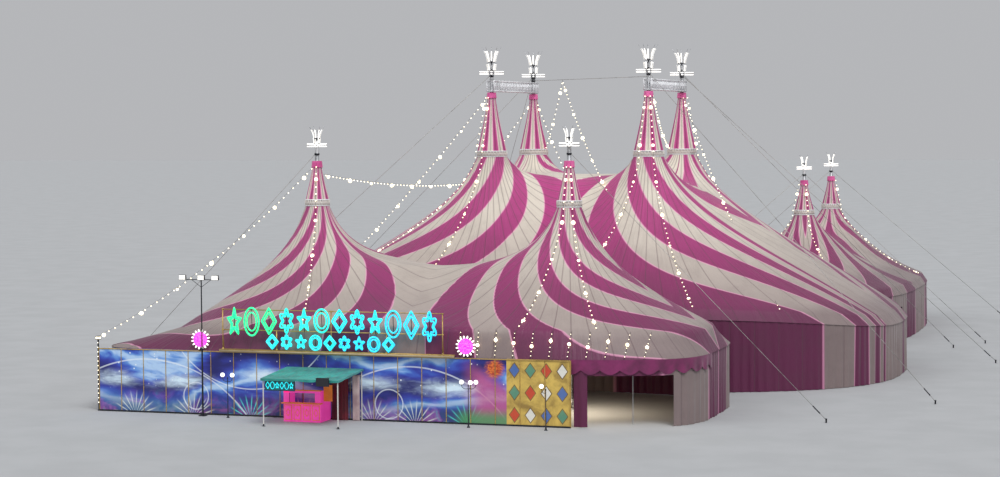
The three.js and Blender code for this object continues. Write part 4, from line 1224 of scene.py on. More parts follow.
def side_wall(tent, doors, span):
    """Cloth from hem to ground. It stands out in folds: depth = sin of the run, deeper below.

    Doors are gaps in the cloth: place, width and height. The cloth above a door has its own grid.
    """
    closed, run = hem_loop(tent)
    total = run[-1]
    start, end = (nearest_run(closed, run, *place) for place in span) if span else (0.0, total)
    if end <= start:
        end += total
    gaps = []
    for x, y, width, height in doors:
        middle = nearest_run(closed, run, x, y)
        if middle < start:
            middle += total
        gaps.append((middle - width / 2, middle + width / 2, height))
    stretches, at = [], start
    for low, high, height in sorted(gaps):
        stretches += [(at, low, 0.0), (low, high, height)]
        at = high
    stretches.append((at, end, 0.0))
    form = Form()
    for low, high, bottom in stretches:
        if high - low < 0.05:
            continue
        column_width, rows, clear = 0.085, 14, 0.015
        columns = max(8, int((high - low) / column_width))
        s = np.linspace(low, high, columns + 1)[None]
        t = np.linspace(0, 1, rows + 1)[:, None]
        point, out = on_loop(closed, run, s[0])
        top = point[:, 2][None] + 0.05
        z = top + (bottom + clear - top) * t
        share = 1 - (z - clear) / top
        fade = np.clip(np.minimum(s - low, high - s) / 0.3, 0, 1)
        depth = 0.045 * np.sin(s * 11.0 + 0.8 * np.sin(s * 1.7)) * (0.25 + 0.75 * share)
        depth = depth + 0.03 * np.sin(s * 3.1 + 1.0) * share
        away = -0.06 + depth * fade
        x = point[:, 0][None] + out[:, 0][None] * away
        y = point[:, 1][None] + out[:, 1][None] * away
        form.add(real(x, y, z), grid_faces(rows + 1, columns + 1)[:, ::-1])
        values = wall_values(tent, point[:, 0] - tent["x"], point[:, 1] - tent["y"], s[0])
        values = {k: v[None] + 0 * t for k, v in values.items()}
        form.values[-1] = reversed_corners(values, tent)
    piece = form.make(f"{tent['name']}_wall_cloth", ["striped cloth"], slot="striped_cloth",
                      replaces=[f"{tent['name']}_side_wall"])
    declare_cloth(piece, [part_name(tent, "roof_cloth", 0)])


def valance(tent, start, end, drop):
    """A scalloped strip under the hem: its lower edge is the drop times 0.7 + 0.3 |sin|."""
    closed, run = hem_loop(tent)
    first, last = nearest_run(closed, run, *start), nearest_run(closed, run, *end)
    if last <= first:
        last += run[-1]
    s = np.linspace(first, last, 260)[None]
    t = np.linspace(0, 1, 9)[:, None]
    point, out = on_loop(closed, run, s[0])
    edge = drop * (0.7 + 0.3 * np.abs(np.sin(s * np.pi / 1.1)))
    z = point[:, 2][None] + 0.03 - edge * t
    away = 0.035 + 0.03 * np.sin(s * 8) * t
    form = Form()
    form.add(real(point[:, 0] + out[:, 0] * away, point[:, 1] + out[:, 1] * away, z),
             grid_faces(9, 260)[:, ::-1])
    piece = form.make(f"{tent['name']}_valance", ["valance cloth"], slot="striped_cloth")
    declare_cloth(piece, [f"{tent['name']}_roof_cloth_{tent['parts'][-1]}"])


# Front wall trim, light frame and sunbursts

WALL_LEFT, WALL_RIGHT, WALL_TOP = -25.38, 4.09, 3.8
FRAME_POSTS = np.array([-17.12, -13.69, -10.26, -6.84, -3.43])


def front_trim():
    """Battens over the panel joints, a rail along top and foot, and bolts down each batten."""
    form = Form()
    joints = np.linspace(WALL_LEFT + 0.03, WALL_RIGHT - 0.03, 21)
    blocks(form, real(joints - 0.02, 0.02, 0.02), real(joints + 0.02, 0.045, WALL_TOP - 0.02))
    blocks(form, [WALL_LEFT, 0.0, WALL_TOP - 0.06], [WALL_RIGHT, 0.045, WALL_TOP])
    blocks(form, [WALL_LEFT, 0.0, 0.0], [WALL_RIGHT, 0.045, 0.09], 1)
    balls(form, lattice(joints, [0.018], np.linspace(0.35, 3.5, 6)), 0.016, 6, 3, 1)
    ribs = joints[1:-1:2]
    bars(form, real(ribs, 0.2, 0.02), real(ribs, 0.2, WALL_TOP - 0.05), 0.03, 8)
    bars(form, real(ribs, 0.2, 2.9), real(ribs + 0.3, 0.2, 2.9), 0.02)
    form.make("front_wall_trim", ["frame tube", "dark metal"], smooth=False, slot="frame_gold")


def sign_rails():
    """The light frame in round tube: posts, two rails, short clamps, and the ledge with its lip."""
    form = Form()
    y, top, mid, low = -0.12, 6.3, 5.1, WALL_TOP + 0.16
    for i, x in enumerate(FRAME_POSTS):
        high = top if i % 2 == 0 else mid
        bars(form, [x, y, low], [x, y, high], 0.035, 14)
        socket = [(0, 0), (0.09, 0), (0.09, 0.03), (0.04, 0.05), (0.04, 0.1), (0, 0.1)]
        turned(form, [(r, low + z) for r, z in socket], (x, y), 16)
    for z in (mid, top):
        bars(form, [FRAME_POSTS[0], y, z], [FRAME_POSTS[-1], y, z], 0.03, 14)
    clamps = lattice(FRAME_POSTS[::2], [y], [mid, top])
    bars(form, clamps - [0.06, 0, 0], clamps + [0.06, 0, 0], 0.045, 12)
    blocks(form, [-17.3, -0.3, WALL_TOP + 0.003], [-2.75, 0.07, WALL_TOP + 0.12], 1)
    for front in (-0.3, 0.03):
        blocks(form, [-17.3, front, WALL_TOP + 0.12], [-2.75, front + 0.04, WALL_TOP + 0.16])
    bars(form, real(FRAME_POSTS[::2], y, 5.0), real(FRAME_POSTS[::2], 0.05, low - 0.02), 0.016)
    form.make("sign_rails", ["frame tube", "ledge board"], slot="frame_gold", replaces=["sign_frame"])


def outline(kind):
    """A closed outline in a box from -1 to 1. Its radius goes by the angle, counted from the top."""
    a = around({"star": 10, "diamond": 4}.get(kind, 40))
    r = np.ones(len(a))
    if kind == "star":
        r[1::2] = 0.42
    if kind == "flower":
        r = 0.78 + 0.22 * np.cos(6 * a)
    return np.stack([r * np.sin(a), r * np.cos(a)], axis=-1)


def finer(points, length):
    """Points evenly spaced round a closed outline, about a length apart."""
    ring = np.concatenate([points, points[:1]])
    run = run_along(ring)
    return places(ring, run, np.arange(0, run[-1], run[-1] / max(8, round(run[-1] / length))))


def light_shapes():
    """Two rows of lit outlines. The upper row's lower edge is an arch: tall at both ends."""
    form = Form()
    kinds = ["star", "ring", "diamond", "flower"]
    y = -0.185
    upper = np.linspace(-16.35, -4.2, 12)
    for i, x in enumerate(upper):
        height = 1.34 + 0.4 * abs((x + 10.27) / 6.1) ** 1.6
        add_light_shape(form, kinds[i % 4], x, y, 6.42 - height / 2, 0.46, height / 2, i // 3)
    lower = np.linspace(-13.95, -6.7, 9)
    for i, x in enumerate(lower):
        add_light_shape(form, kinds[(i + 2) % 4], x, y, 4.46, 0.36, 0.42, 2 if i < 5 else 3)
    finishes = ["green light", "teal light", "cyan light", "blue light", "dark metal"]
    form.make("light_shapes", finishes, slot="lit_magenta")


def add_light_shape(form, kind, x, y, z, half_width, half_height, colour):
    """Two outlines, one inside the other, as lit tubes with small lamps on a dark backing."""
    base = outline(kind) * [half_width, half_height]
    for share, radius in ((1.0, 0.055), (0.66, 0.045)):
        path = finer(base * share, 0.07)
        points = real(x + path[:, 0], y, z + path[:, 1])
        tube(form, points, radius, 7, colour, True, (0, 1, 0))
        lamps = finer(base * share, 0.12)
        balls(form, real(x + lamps[:, 0], y - radius * 0.8, z + lamps[:, 1]), 0.024, 5, 3, colour)
    spine = half_height * 0.9
    bars(form, [x - 0.02, y + 0.03, z + spine], [x + 0.02, y + 0.03, z - spine], 0.02, 6, 4)


def upright_circle(x, z, radius, angles, y):
    """Points about a centre in an upright plane that faces the front."""
    return real(x + radius * np.cos(angles), y, z + radius * np.sin(angles))


def sunburst(x, name, node):
    """A domed disc with rings of lamps, and sixteen petals that widen and narrow as a sine."""
    y, z = -0.02, 4.47
    form = Form()
    rows, sides = 9, 48
    t = np.linspace(0, 1, rows)[:, None]
    a = around(sides)[None]
    front = upright_circle(x, z, 0.45 * t, a, y - 0.035 - 0.05 * (1 - t ** 2))
    back = upright_circle(x, z, 0.45 * (1 - t), a, y + 0.035)
    rim = np.concatenate([front[-1:], back[:1]])
    for surface, kind in ((front, 0), (rim, 2), (back, 2)):
        form.add(surface, grid_faces(len(surface), sides, True)[:, ::-1], kind)
    for ring, count in ((0.14, 8), (0.26, 14), (0.38, 20)):
        dome = y - 0.08 + 0.05 * (ring / 0.45) ** 2
        balls(form, upright_circle(x, z, ring, around(count), dome), 0.026)
    for b in (np.arange(16) + 0.5) / 16 * TURN:
        ahead = np.array([np.cos(b), 0.0, np.sin(b)])
        path = np.array([x, y, z]) + ahead * np.linspace(0.42, 0.6, 7)[:, None]
        width = 0.1 * np.sin(np.linspace(0.5, 2.75, 7))
        strips(form, path, np.cross(ahead, [0, 1, 0]), width, 0.06, 1)
    bars(form, [x, y, WALL_TOP + 0.02], [x, y, z], 0.03, 8, 2)
    blocks(form, [x - 0.12, -0.05, WALL_TOP + 0.003], [x + 0.12, 0.09, WALL_TOP + 0.05], 2)
    form.make(name, ["magenta light", "crown light", "dark metal"], slot="lit_magenta", replaces=[node])


# Ticket booth, lamps and posts

BOOTH = {"x0": -13.0, "x1": -8.45, "y0": -3.7, "y1": 0.002, "front": 2.7, "back": 2.95}


def booth_canopy():
    """Cloth over rails: straight from front to back, with a sag between rails and a hanging lip."""
    b = BOOTH
    over = 0.12
    columns, rows = 91, 30
    u = np.linspace(0, 1, columns)[None]
    v = np.linspace(0, 1, rows)[:, None]
    x = b["x0"] - over + (b["x1"] - b["x0"] + 2 * over) * u
    y = b["y0"] - over + (0.03 + over - b["y0"]) * v
    slope = (b["back"] - b["front"]) / (b["y1"] - b["y0"])
    sag = 0.05 * np.sin(np.pi * v) ** 0.5 * np.abs(np.sin(np.pi * 9 * u))
    top = real(x, y, b["front"] + 0.05 + (y - b["y0"]) * slope - sag)
    form = Form()
    form.add(top, grid_faces(rows, columns))
    drop = np.linspace(0, 1, 5)[:, None]
    lip = top[:1] + real(0, -0.02 * np.sin(u * 40) * drop, -drop * (0.13 + 0.02 * np.sin(u * 23)))
    form.add(lip, grid_faces(5, columns)[:, ::-1])
    for end in (0, -1):
        hang = top[None, :, end] + real(0, 0, -drop * (0.11 + 0.015 * np.sin(v.T * 19)))
        faces = grid_faces(5, rows)
        form.add(hang, faces if end == 0 else faces[:, ::-1])
    piece = form.make("booth_canopy", ["booth cloth"], slot="booth_cloth", replaces=["booth_roof"])
    declare_cloth(piece, ["booth_rails"])


def booth_rails():
    """Posts on foot plates, roof rails with two cross rails, the bare board and a hanging cabinet."""
    b = BOOTH
    form = Form()
    for x in (b["x0"], b["x1"]):
        for y, high in ((b["y0"], b["front"]), (b["y1"], b["back"])):
            bars(form, [x, y, 0], [x, y, high], 0.035, 14)
            if y < -1:
                plate = [(0, 0), (0.1, 0), (0.1, 0.02), (0.045, 0.03), (0.045, 0.12), (0, 0.12)]
                turned(form, plate, (x, y), 18, 1)
    cross = np.linspace(b["y0"], b["y1"], 5)
    rise = b["front"] + (b["back"] - b["front"]) * (cross - b["y0"]) / (b["y1"] - b["y0"]) - 0.03
    bars(form, real(b["x0"], cross, rise), real(b["x1"], cross, rise), 0.025, 10)
    lengths = np.linspace(b["x0"], b["x1"], 4)
    bars(form, real(lengths, b["y0"], rise[0]), real(lengths, b["y1"], rise[-1]), 0.025, 10)
    x0, x1 = b["x0"] + 0.1, b["x0"] + 1.95
    blocks(form, [x0, b["y0"] - 0.03, 2.05], [x1, b["y0"] + 0.03, 2.66], 2)
    frame = [(x0, x1, 2.05, 2.08), (x0, x1, 2.63, 2.66), (x0, x0 + 0.03, 2.05, 2.66),
             (x1 - 0.03, x1, 2.05, 2.66)]
    for left, right, foot, head in frame:
        blocks(form, [left, b["y0"] - 0.045, foot], [right, b["y0"] - 0.03, head], 1)
    for i, x in enumerate(np.linspace(x0 + 0.2, x1 - 0.2, 6)):
        path = finer(outline(["diamond", "ring", "star"][i % 3]) * [0.12, 0.2], 0.03)
        tube(form, real(x + path[:, 0], b["y0"] - 0.05, 2.355 + path[:, 1]), 0.018, 6, 3, True, (0, 1, 0))
    blocks(form, [-9.65, b["y0"] - 0.3, 2.4], [-8.9, b["y0"] - 0.15, 2.88], 1)
    bars(form, [-9.27, b["y0"] - 0.17, 2.48], [-9.27, b["y0"], 2.66], 0.02, 8, 1)
    form.make("booth_rails", ["white post", "dark metal", "bare board", "cyan light"], smooth=False,
              slot="dark_metal", replaces=["booth_frame"])


def booth_stand():
    """The counter with a shelf, framed panels and a sliding hatch, and the orange panel beside it."""
    form = Form()
    front = [(-12.7, -10.4, 0, 1.12), (-12.7, -12.35, 1.12, 1.8), (-12.7, -10.75, 1.68, 1.8),
             (-10.75, -10.4, 1.12, 1.8)]
    for left, right, foot, head in front:
        blocks(form, [left, -1.5, foot], [right, -1.44, head])
    for left in (-12.7, -10.46):
        blocks(form, [left, -1.44, 0], [left + 0.06, 0.037, 1.8])
    blocks(form, [-12.76, -1.72, 1.06], [-10.34, -1.3, 1.12], 1)
    xs = np.linspace(-12.7, -10.4, 5)
    blocks(form, real(xs[:-1] + 0.06, -1.515, 0.1), real(xs[1:] - 0.06, -1.5, 0.98), 1)
    blocks(form, real(xs[:-1] + 0.1, -1.525, 0.14), real(xs[1:] - 0.1, -1.515, 0.94))
    for i, x in enumerate((xs[:-1] + xs[1:]) / 2):
        path = finer(outline(["flower", "diamond"][i % 2]) * [0.13, 0.22], 0.04)
        tube(form, real(x + path[:, 0], -1.535, 0.54 + path[:, 1]), 0.016, 6, 1, True, (0, 1, 0))
    blocks(form, [-12.72, -1.53, 1.8], [-10.38, -1.38, 1.86], 1)
    hatch, stem = [-12.35, -11.55], [-10.25, -9.88]
    bars(form, real(hatch, -1.47, 1.12), real(hatch, -1.47, 1.68), 0.02, 8, 2)
    tube(form, real([-12.6, -10.5], -1.35, 1.75), 0.025, 8, 3)
    blocks(form, [-10.33, -1.2, 1.2], [-9.8, -1.16, 2.15], 1)
    bars(form, real(stem, -1.18, 2.15), real(stem, -1.18, 2.86), 0.014, 8, 2)
    form.make("booth_stand", ["pink panel", "orange panel", "dark metal", "frosted globe"], smooth=False,
              slot="painted_panel", replaces=["booth_counter"])


def booth_curtain(name, finish, x0, x1):
    """A curtain in deep folds before the wall: depth = sine of the width, wider at the foot."""
    columns, rows = 80, 14
    u = np.linspace(0, 1, columns)[None]
    v = np.linspace(0, 1, rows)[:, None]
    x = x0 + (x1 - x0) * (u + 0.02 * np.sin(u * 30) * v)
    y = -0.16 - 0.03 * np.sin(u * 34) * (0.5 + 0.5 * v)
    form = Form()
    form.add(real(x, y, 2.62 - 2.6 * v), grid_faces(rows, columns)[:, ::-1])
    bars(form, [x0 - 0.05, -0.13, 2.64], [x1 + 0.05, -0.13, 2.64], 0.018, 8)
    piece = form.make(name, [finish], slot="pink_cloth")
    declare_cloth(piece, ["booth_rails"])


def globe_lamp(x, y, height, globes, name, node):
    """A turned foot and post, bent arms, and frosted globes in cups with a small finial."""
    form = Form()
    profile = [(0, 0), (0.09, 0), (0.09, 0.03), (0.06, 0.06), (0.045, 0.16), (0.03, 0.22), (0.026, 0.9),
               (0.034, 0.92), (0.034, 0.96), (0.024, 0.98), (0.022, height - 0.18), (0.034, height - 0.16),
               (0.034, height - 0.1), (0.02, height - 0.06), (0, height - 0.05)]
    turned(form, profile, (x, y), 20)
    cup = [(0, -0.1), (0.03, -0.1), (0.055, -0.05), (0.06, -0.02), (0, -0.02)]
    finial = [(0, 0.185), (0.03, 0.18), (0.012, 0.2), (0, 0.23)]
    for dx, dy in globes:
        centre = np.array([x + dx, y + dy, height + 0.06])
        balls(form, centre, 0.13, 24, 16, 1)
        for section, sides in ((cup, 16), (finial, 12)):
            turned(form, [(r, height + z) for r, z in section], centre[:2], sides)
        arm = bow([x, y, height - 0.3], [x + dx * 0.9, y + dy * 0.9, height - 0.38],
                  [x + dx, y + dy, height - 0.08], 10)
        tube(form, arm, 0.016)
    form.make(name, ["dark metal", "frosted globe"], slot="lit_globe", replaces=[node])


def flood_lights():
    """The post with rings and steps, its cross bar with braces, and three finned heads."""
    x, y = -18.3, -0.5
    form = Form()
    turned(form, [(0, 0.02), (0.055, 0.02), (0.05, 4.0), (0.04, 4.05), (0.036, 8.1), (0, 8.1)], (x, y), 18)
    blocks(form, [x - 0.2, y - 0.2, 0], [x + 0.2, y + 0.2, 0.04])
    balls(form, circle((x, y), 0.19, around(4) + np.pi / 4, 0.05), 0.025)
    tube(form, real([x - 1.25, x + 0.95], y, 8.05), 0.025, 10)
    bars(form, real([x, x], y, 7.6), real([x - 0.6, x + 0.6], y, 8.03), 0.014, 8)
    for centre in (x - 1.2, x, x + 0.9):
        blocks(form, [centre - 0.22, y - 0.06, 8.02], [centre + 0.22, y, 8.32])
        fins = np.linspace(centre - 0.2, centre + 0.2, 12)
        blocks(form, real(fins - 0.006, y, 8.04), real(fins + 0.006, y + 0.06, 8.3))
        across, up = np.linspace(centre - 0.17, centre + 0.17, 6), np.linspace(8.07, 8.27, 4)
        lamps = lattice(across, [y - 0.075], up)
        blocks(form, lamps - [0.024, 0.02, 0.02], lamps + [0.024, 0.015, 0.02], 1)
        ends = [centre - 0.23, centre + 0.23]
        bars(form, real(ends, y, 8.05), real(ends, y, 8.2), 0.014)
    form.make("flood_lights", ["dark metal", "crown light"], smooth=False, slot="dark_metal",
              replaces=["floodlight_post"])


def corner_post():
    """A post at the wall's corner with a boxed lamp on top and lamps down its front."""
    x, y = -25.434, 0.1
    form = Form()
    drum(form, (x, y), 0, 0.05, 0, 4.35, 16)
    turned(form, [(0.04, 0), (0.085, 0), (0.085, 0.03), (0.055, 0.08)], (x, y), 16)
    blocks(form, [-25.55, -0.03, 4.3], [-25.3, 0.23, 4.34])
    blocks(form, [-25.53, -0.01, 4.34], [-25.32, 0.21, 4.46], 1)
    blocks(form, [-25.55, -0.03, 4.46], [-25.3, 0.23, 4.5])
    balls(form, real(x, y - 0.06, np.linspace(0.5, 4.1, 14)), 0.03, 8, 5, 1)
    form.make("corner_lights", ["dark metal", "warm bulb"], smooth=False, slot="dark_metal",
              replaces=["corner_post_left"])


# Light strings

WIRE = 0.012


def sagging(start, end, sag, count=60):
    """A hanging line: straight from start to end, lowered by 4 sag t (1 - t)."""
    t = np.linspace(0, 1, count)[:, None]
    start, end = np.asarray(start, float), np.asarray(end, float)
    return start + (end - start) * t - np.array([0, 0, 4.0]) * sag * t * (1 - t)


def down_the_roof(tent, index, azimuth, lift=0.09):
    """From the hat's top to the ring, then down the cloth along one direction, a little above it."""
    mx, my = tent["masts"][index]
    a = np.radians(azimuth)
    ux, uy = np.cos(a), np.sin(a)
    edge = tent["ring_radius"] + 0.12
    reach = float(fold_reach(tent, mx, my, np.array([ux]), np.array([uy]))[0])
    r = edge * (reach / edge) ** np.linspace(0, 1, 70)
    x, y = mx + ux * r, my + uy * r
    z = cloth_height(tent, index, x, y) + lift
    z[0] = tent["ring"] + 0.1
    roof = on_site(tent, x, y, z)
    head = circle(place_of(tent, index), 0.37, a, tent["hat_top"] - 0.1)
    return np.concatenate([sagging(head, roof[0], 0.05, 14)[:-1], roof])


def even_points(path, every, shift=0.5):
    """Points every so many metres along a path."""
    run = run_along(path)
    return places(path, run, np.arange(every * shift, run[-1], every))


def light_string(name, path):
    """A wire along its path. Small lamps hang every 0.42 m, large ones every 2.6 m."""
    path = even_points(path, 0.25, 0.0)
    line = Form()
    tube(line, path, WIRE / 2, 6)
    cord = line.make(f"{name}_wire", ["dark metal"], slot="dark_metal")
    small = even_points(path, 0.42)
    large = even_points(path, 2.6, 0.35)
    swell = 0.075 + 0.055 * np.abs(np.sin(1.9 * np.arange(len(large)) + len(path)))
    lamps = Form()
    balls(lamps, small - [0, 0, 0.055], 0.042)
    bars(lamps, small, small - [0, 0, 0.035], 0.022, 5, 1)
    balls(lamps, large - [0, 0, 0.12], swell, 10, 7)
    bars(lamps, large, large - [0, 0, 0.06], 0.04, 6, 1)
    bulbs = lamps.make(f"{name}_lamps", ["warm bulb", "dark metal"], slot="lit_globe")


def eave_drops(tent, first, last, every):
    """Short strings clipped to the skirt: from fold to hem, with small lamps and one large one.

    The fold's front is looked up in its own points, and the hem's front in its superellipse.
    """
    fold = arc_points(tent, 0, TURN, 1440)[:-1]
    fold = fold[(fold[:, 0] + tent["x"] > first) & (fold[:, 0] + tent["x"] < last) & (fold[:, 1] < 0)]
    fold = fold[np.argsort(fold[:, 0])]
    x = np.arange(first + every / 2, last, every) - tent["x"]
    y = np.interp(x, fold[:, 0], fold[:, 1])
    hem = tent["hem"]
    p = np.where(x < 0, 14.0, 4.0)
    a = np.where(x < 0, hem["left"], hem["right"])
    hem_y = -hem["front"] * (1 - np.minimum(np.abs(x) / a, 0.98) ** p) ** (1 / p)
    top = on_site(tent, x, y - 0.05, fold_height(tent, x) - 0.02)
    foot = on_site(tent, x, hem_y - 0.07, hem["z"] + 0.05)
    form = Form()
    bars(form, top, foot, 0.01, 5)
    t = np.linspace(0.1, 0.9, 6)[:, None, None]
    small = (top + (foot - top) * t).reshape(-1, 3)
    balls(form, small - [0, 0.03, 0], 0.026, 6, 4, 1)
    middle = top + (foot - top) * (0.45 + 0.12 * np.sin(np.arange(len(x)) * 2.1))[:, None]
    balls(form, middle - [0, 0.06, 0], 0.105, 10, 7, 1)
    form.make(f"{tent['name']}_eave_lights", ["dark metal", "warm bulb"], slot="lit_globe")


# Stage: floor, soft light and the camera


def make_floor(colour):
    """A wide pale floor, a hair below the stakes, with a faint grain."""
    f = Finish("pale floor", 0.9)
    grain = f.noise(3.0, None, 3.0)
    shade = tuple(0.93 * c for c in colour[:3]) + (1.0,)
    material = f.done(f.mix(f.step(grain, 0.3, 0.7), colour, shade))
    across = np.linspace(-900.0, 900.0, 5)
    points = to_model(real(*np.meshgrid(across, across), -0.01)).reshape(-1, 3)
    mesh = bpy.data.meshes.new("floor")
    mesh.from_pydata(points.tolist(), [], grid_faces(5, 5).tolist())
    mesh.materials.append(material)
    floor = in_scene("floor", mesh)


def soft_lamp(name, place, target, size, power, colour=(1, 1, 1)):
    """A large square lamp that looks at a point."""
    data = bpy.data.lights.new(name, "AREA")
    data.shape = "RECTANGLE"
    data.size = data.size_y = size
    data.energy = power
    data.color = colour
    lamp = in_scene(name, data)
    lamp.location = place
    lamp.rotation_mode = "QUATERNION"
    lamp.rotation_quaternion = (Vector(target) - Vector(place)).to_track_quat("-Z", "Y")


def soft_sun(name, height, turn, power, softness):
    """Even light from far away: its height and turn in degrees, and its width in radians."""
    data = bpy.data.lights.new(name, "SUN")
    data.energy = power
    data.angle = softness
    sun = in_scene(name, data)
    sun.rotation_euler = (np.radians(90 - height), 0.0, np.radians(turn))


def make_camera():
    """The photograph's camera: its place, its downward tilt, its turn, and a slight roll."""
    data = bpy.data.cameras.new("camera")
    data.lens = 79.2
    data.sensor_width = 36.0
    data.clip_start, data.clip_end = 0.1, 400.0
    camera = in_scene("camera", data)
    turn, tilt, roll, far, eye = 0.308, 0.0516, -0.006, 124.04, 17.035
    camera.location = to_model(np.array([far * np.sin(turn), -far * np.cos(turn), eye]))
    look = Euler((np.pi / 2 - tilt, 0.0, turn)).to_matrix().to_4x4() @ Matrix.Rotation(roll, 4, "Z")
    camera.rotation_euler = look.to_euler()
    bpy.context.scene.camera = camera


def make_world(brightness):
    """An even pale surround."""
    world = bpy.data.worlds.new("studio")
    world.use_nodes = True
    back = world.node_tree.nodes["Background"]
    back.inputs["Color"].default_value = (0.83, 0.84, 0.87, 1.0)
    back.inputs["Strength"].default_value = brightness
    bpy.context.scene.world = world


# Add-on: settings, operators and panel


def colour_setting(name, description, colour):
    """A colour that the user may change."""
    return bpy.props.FloatVectorProperty(name=name, description=description, subtype="COLOR", size=4,
                                         min=0.0, max=1.0, default=colour)


def number_setting(name, description, default, low=0.0, high=100.0, unit="NONE"):
    """A number that the user may change."""
    return bpy.props.FloatProperty(name=name, description=description, default=default, min=low, max=high,
                                   unit=unit)


class BigTopCloth(bpy.types.PropertyGroup):
    """Colours of the tent's cloth. The colours near the rings and near the eaves differ partly as painted
    light and shade: brighter above, darker and greyer low down.
    """

    bright: colour_setting("Bright stripe", "Coloured stripe near the rings", tint(184, 58, 130))
    deep: colour_setting("Deep stripe", "Coloured stripe near the eaves", tint(106, 32, 76))
    pale: colour_setting("Pale stripe", "Pale stripe near the rings", tint(222, 213, 198))
    # The dusty stripe colour serves the dust streaks and flecks, and also the painted shade of the pale
    # stripes low down.
    grey: colour_setting("Dusty shaded stripe", "Pale stripe near the eaves", tint(150, 136, 132))
    booth: colour_setting("Booth roof", "Cloth of the ticket booth's roof", tint(40, 160, 148))


class BigTopLights(bpy.types.PropertyGroup):
    """Strength of the lamps."""

    crown: number_setting("Crowns", "Light of the crowns' strips", 1.05)
    bulbs: number_setting("Bulbs", "Light of the strings' bulbs", 2.4)
    shapes: number_setting("Shapes", "Light of the frame's outlines", 1.1)


class BigTopSizes(bpy.types.PropertyGroup):
    """Sizes of the added pieces, in metres of the real tent."""

    valance: number_setting("Valance", "Depth of the entrance's scalloped strip", 0.85, 0.2, 1.2, "LENGTH")
    drop_every: number_setting("Eave light spacing", "Distance between eave light drops", 1.05, 0.5, 4.0,
                               "LENGTH")


class BigTopStage(bpy.types.PropertyGroup):
    """Floor and light."""

    floor: colour_setting("Floor", "Colour of the floor", tint(174, 176, 178))
    surround: number_setting("Surround", "Brightness of the surround", 0.56)
    lamp_power: number_setting("Soft lamps", "Power of the soft lamps", 1.0)


def finish_table():
    """Each finish by its name: what makes it, and with what."""
    cloth, lights = bpy.context.scene.big_top_cloth, bpy.context.scene.big_top_lights
    white, ink = tint(255, 250, 240), tint(255, 255, 255)
    return {
        "striped cloth": (striped_cloth, tuple(cloth.bright), tuple(cloth.deep), tuple(cloth.pale),
                          tuple(cloth.grey)),
        "collar cloth": (plain_cloth, tint(232, 108, 170), tint(190, 62, 130)),
        "valance cloth": (plain_cloth, tint(128, 34, 92), tint(84, 22, 62)),
        "ring band": (plain_cloth, tint(224, 216, 210), tint(194, 184, 180)),
        "booth cloth": (plain_cloth, tuple(cloth.booth), tint(20, 104, 100), 0.5),
        "curtain": (plain_cloth, tint(116, 22, 40), tint(64, 10, 24)),
        "pale drape": (plain_cloth, tint(216, 198, 196), tint(170, 140, 146)),
        "lacing rope": (plain_cloth, tint(240, 236, 228), tint(206, 198, 190)),
        "mast steel": (metal, tint(196, 198, 202), tint(132, 132, 134)),
        "white steel": (metal, tint(236, 237, 240), tint(196, 197, 200), 0.4, 0.1),
        "steel rope": (metal, tint(178, 176, 172), tint(110, 108, 104), 0.5, 0.6),
        "frame tube": (metal, tint(196, 164, 96), tint(140, 112, 62), 0.45, 0.5),
        "dark metal": (metal, tint(52, 54, 60), tint(30, 30, 34), 0.5, 0.6),
        "ledge board": (painted, tint(178, 160, 124), tint(126, 108, 82)),
        "white post": (painted, tint(216, 214, 208), tint(160, 156, 150)),
        "bare board": (painted, tint(24, 92, 98), tint(14, 62, 70)),
        # The pink and orange panels glow though they are no lamps: painted light for the booth's lit
        # inside.
        "pink panel": (painted, tint(232, 70, 168), tint(196, 48, 138), 0.5, 0.45),
        "orange panel": (painted, tint(226, 124, 40), tint(178, 84, 30), 0.5, 0.2),
        "painted front wall": (front_mural,),
        "crown light": (glowing, white, ink, lights.crown),
        "warm bulb": (glowing, tint(255, 236, 190), tint(255, 248, 226), lights.bulbs),
        "frosted globe": (glowing, tint(250, 248, 240), ink, 1.2),
        "magenta light": (glowing, tint(240, 40, 210), tint(255, 110, 230), 0.9),
        "green light": (glowing, tint(18, 214, 130), tint(60, 240, 160), lights.shapes),
        "teal light": (glowing, tint(16, 212, 186), tint(60, 240, 214), lights.shapes),
        "cyan light": (glowing, tint(10, 200, 212), tint(60, 232, 238), lights.shapes),
        "blue light": (glowing, tint(14, 176, 222), tint(60, 214, 242), lights.shapes),
    }


FINISHES = {}


def finish_of(name):
    """A finish by its name, made once."""
    if name not in FINISHES:
        make, *values = finish_table()[name]
        FINISHES[name] = make(name, *values)
    return FINISHES[name]


def paint_node(node, finish):
    """Gives a CAD node that stays in sight its finish."""
    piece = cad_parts[node]
    piece.data.materials.clear()
    piece.data.materials.append(finish_of(finish))


class BIGTOP_OT_roof_cloth(bpy.types.Operator):
    """Stretch the striped cloth over each mast's part of the three roofs"""

    bl_idname = "bigtop.roof_cloth"
    bl_label = "Roof cloth"

    def execute(self, context):
        for tent, index in EVERY_PEAK:
            roof_sheet(tent, index)
        return {"FINISHED"}


class BIGTOP_OT_peaks(bpy.types.Operator):
    """Make each striped hat with its collar and laced ring"""

    bl_idname = "bigtop.peaks"
    bl_label = "Peaks"

    def execute(self, context):
        for tent, index in EVERY_PEAK:
            peak_hat(tent, index)
            peak_collar(tent, index)
            ring_lacing(tent, index)
        return {"FINISHED"}


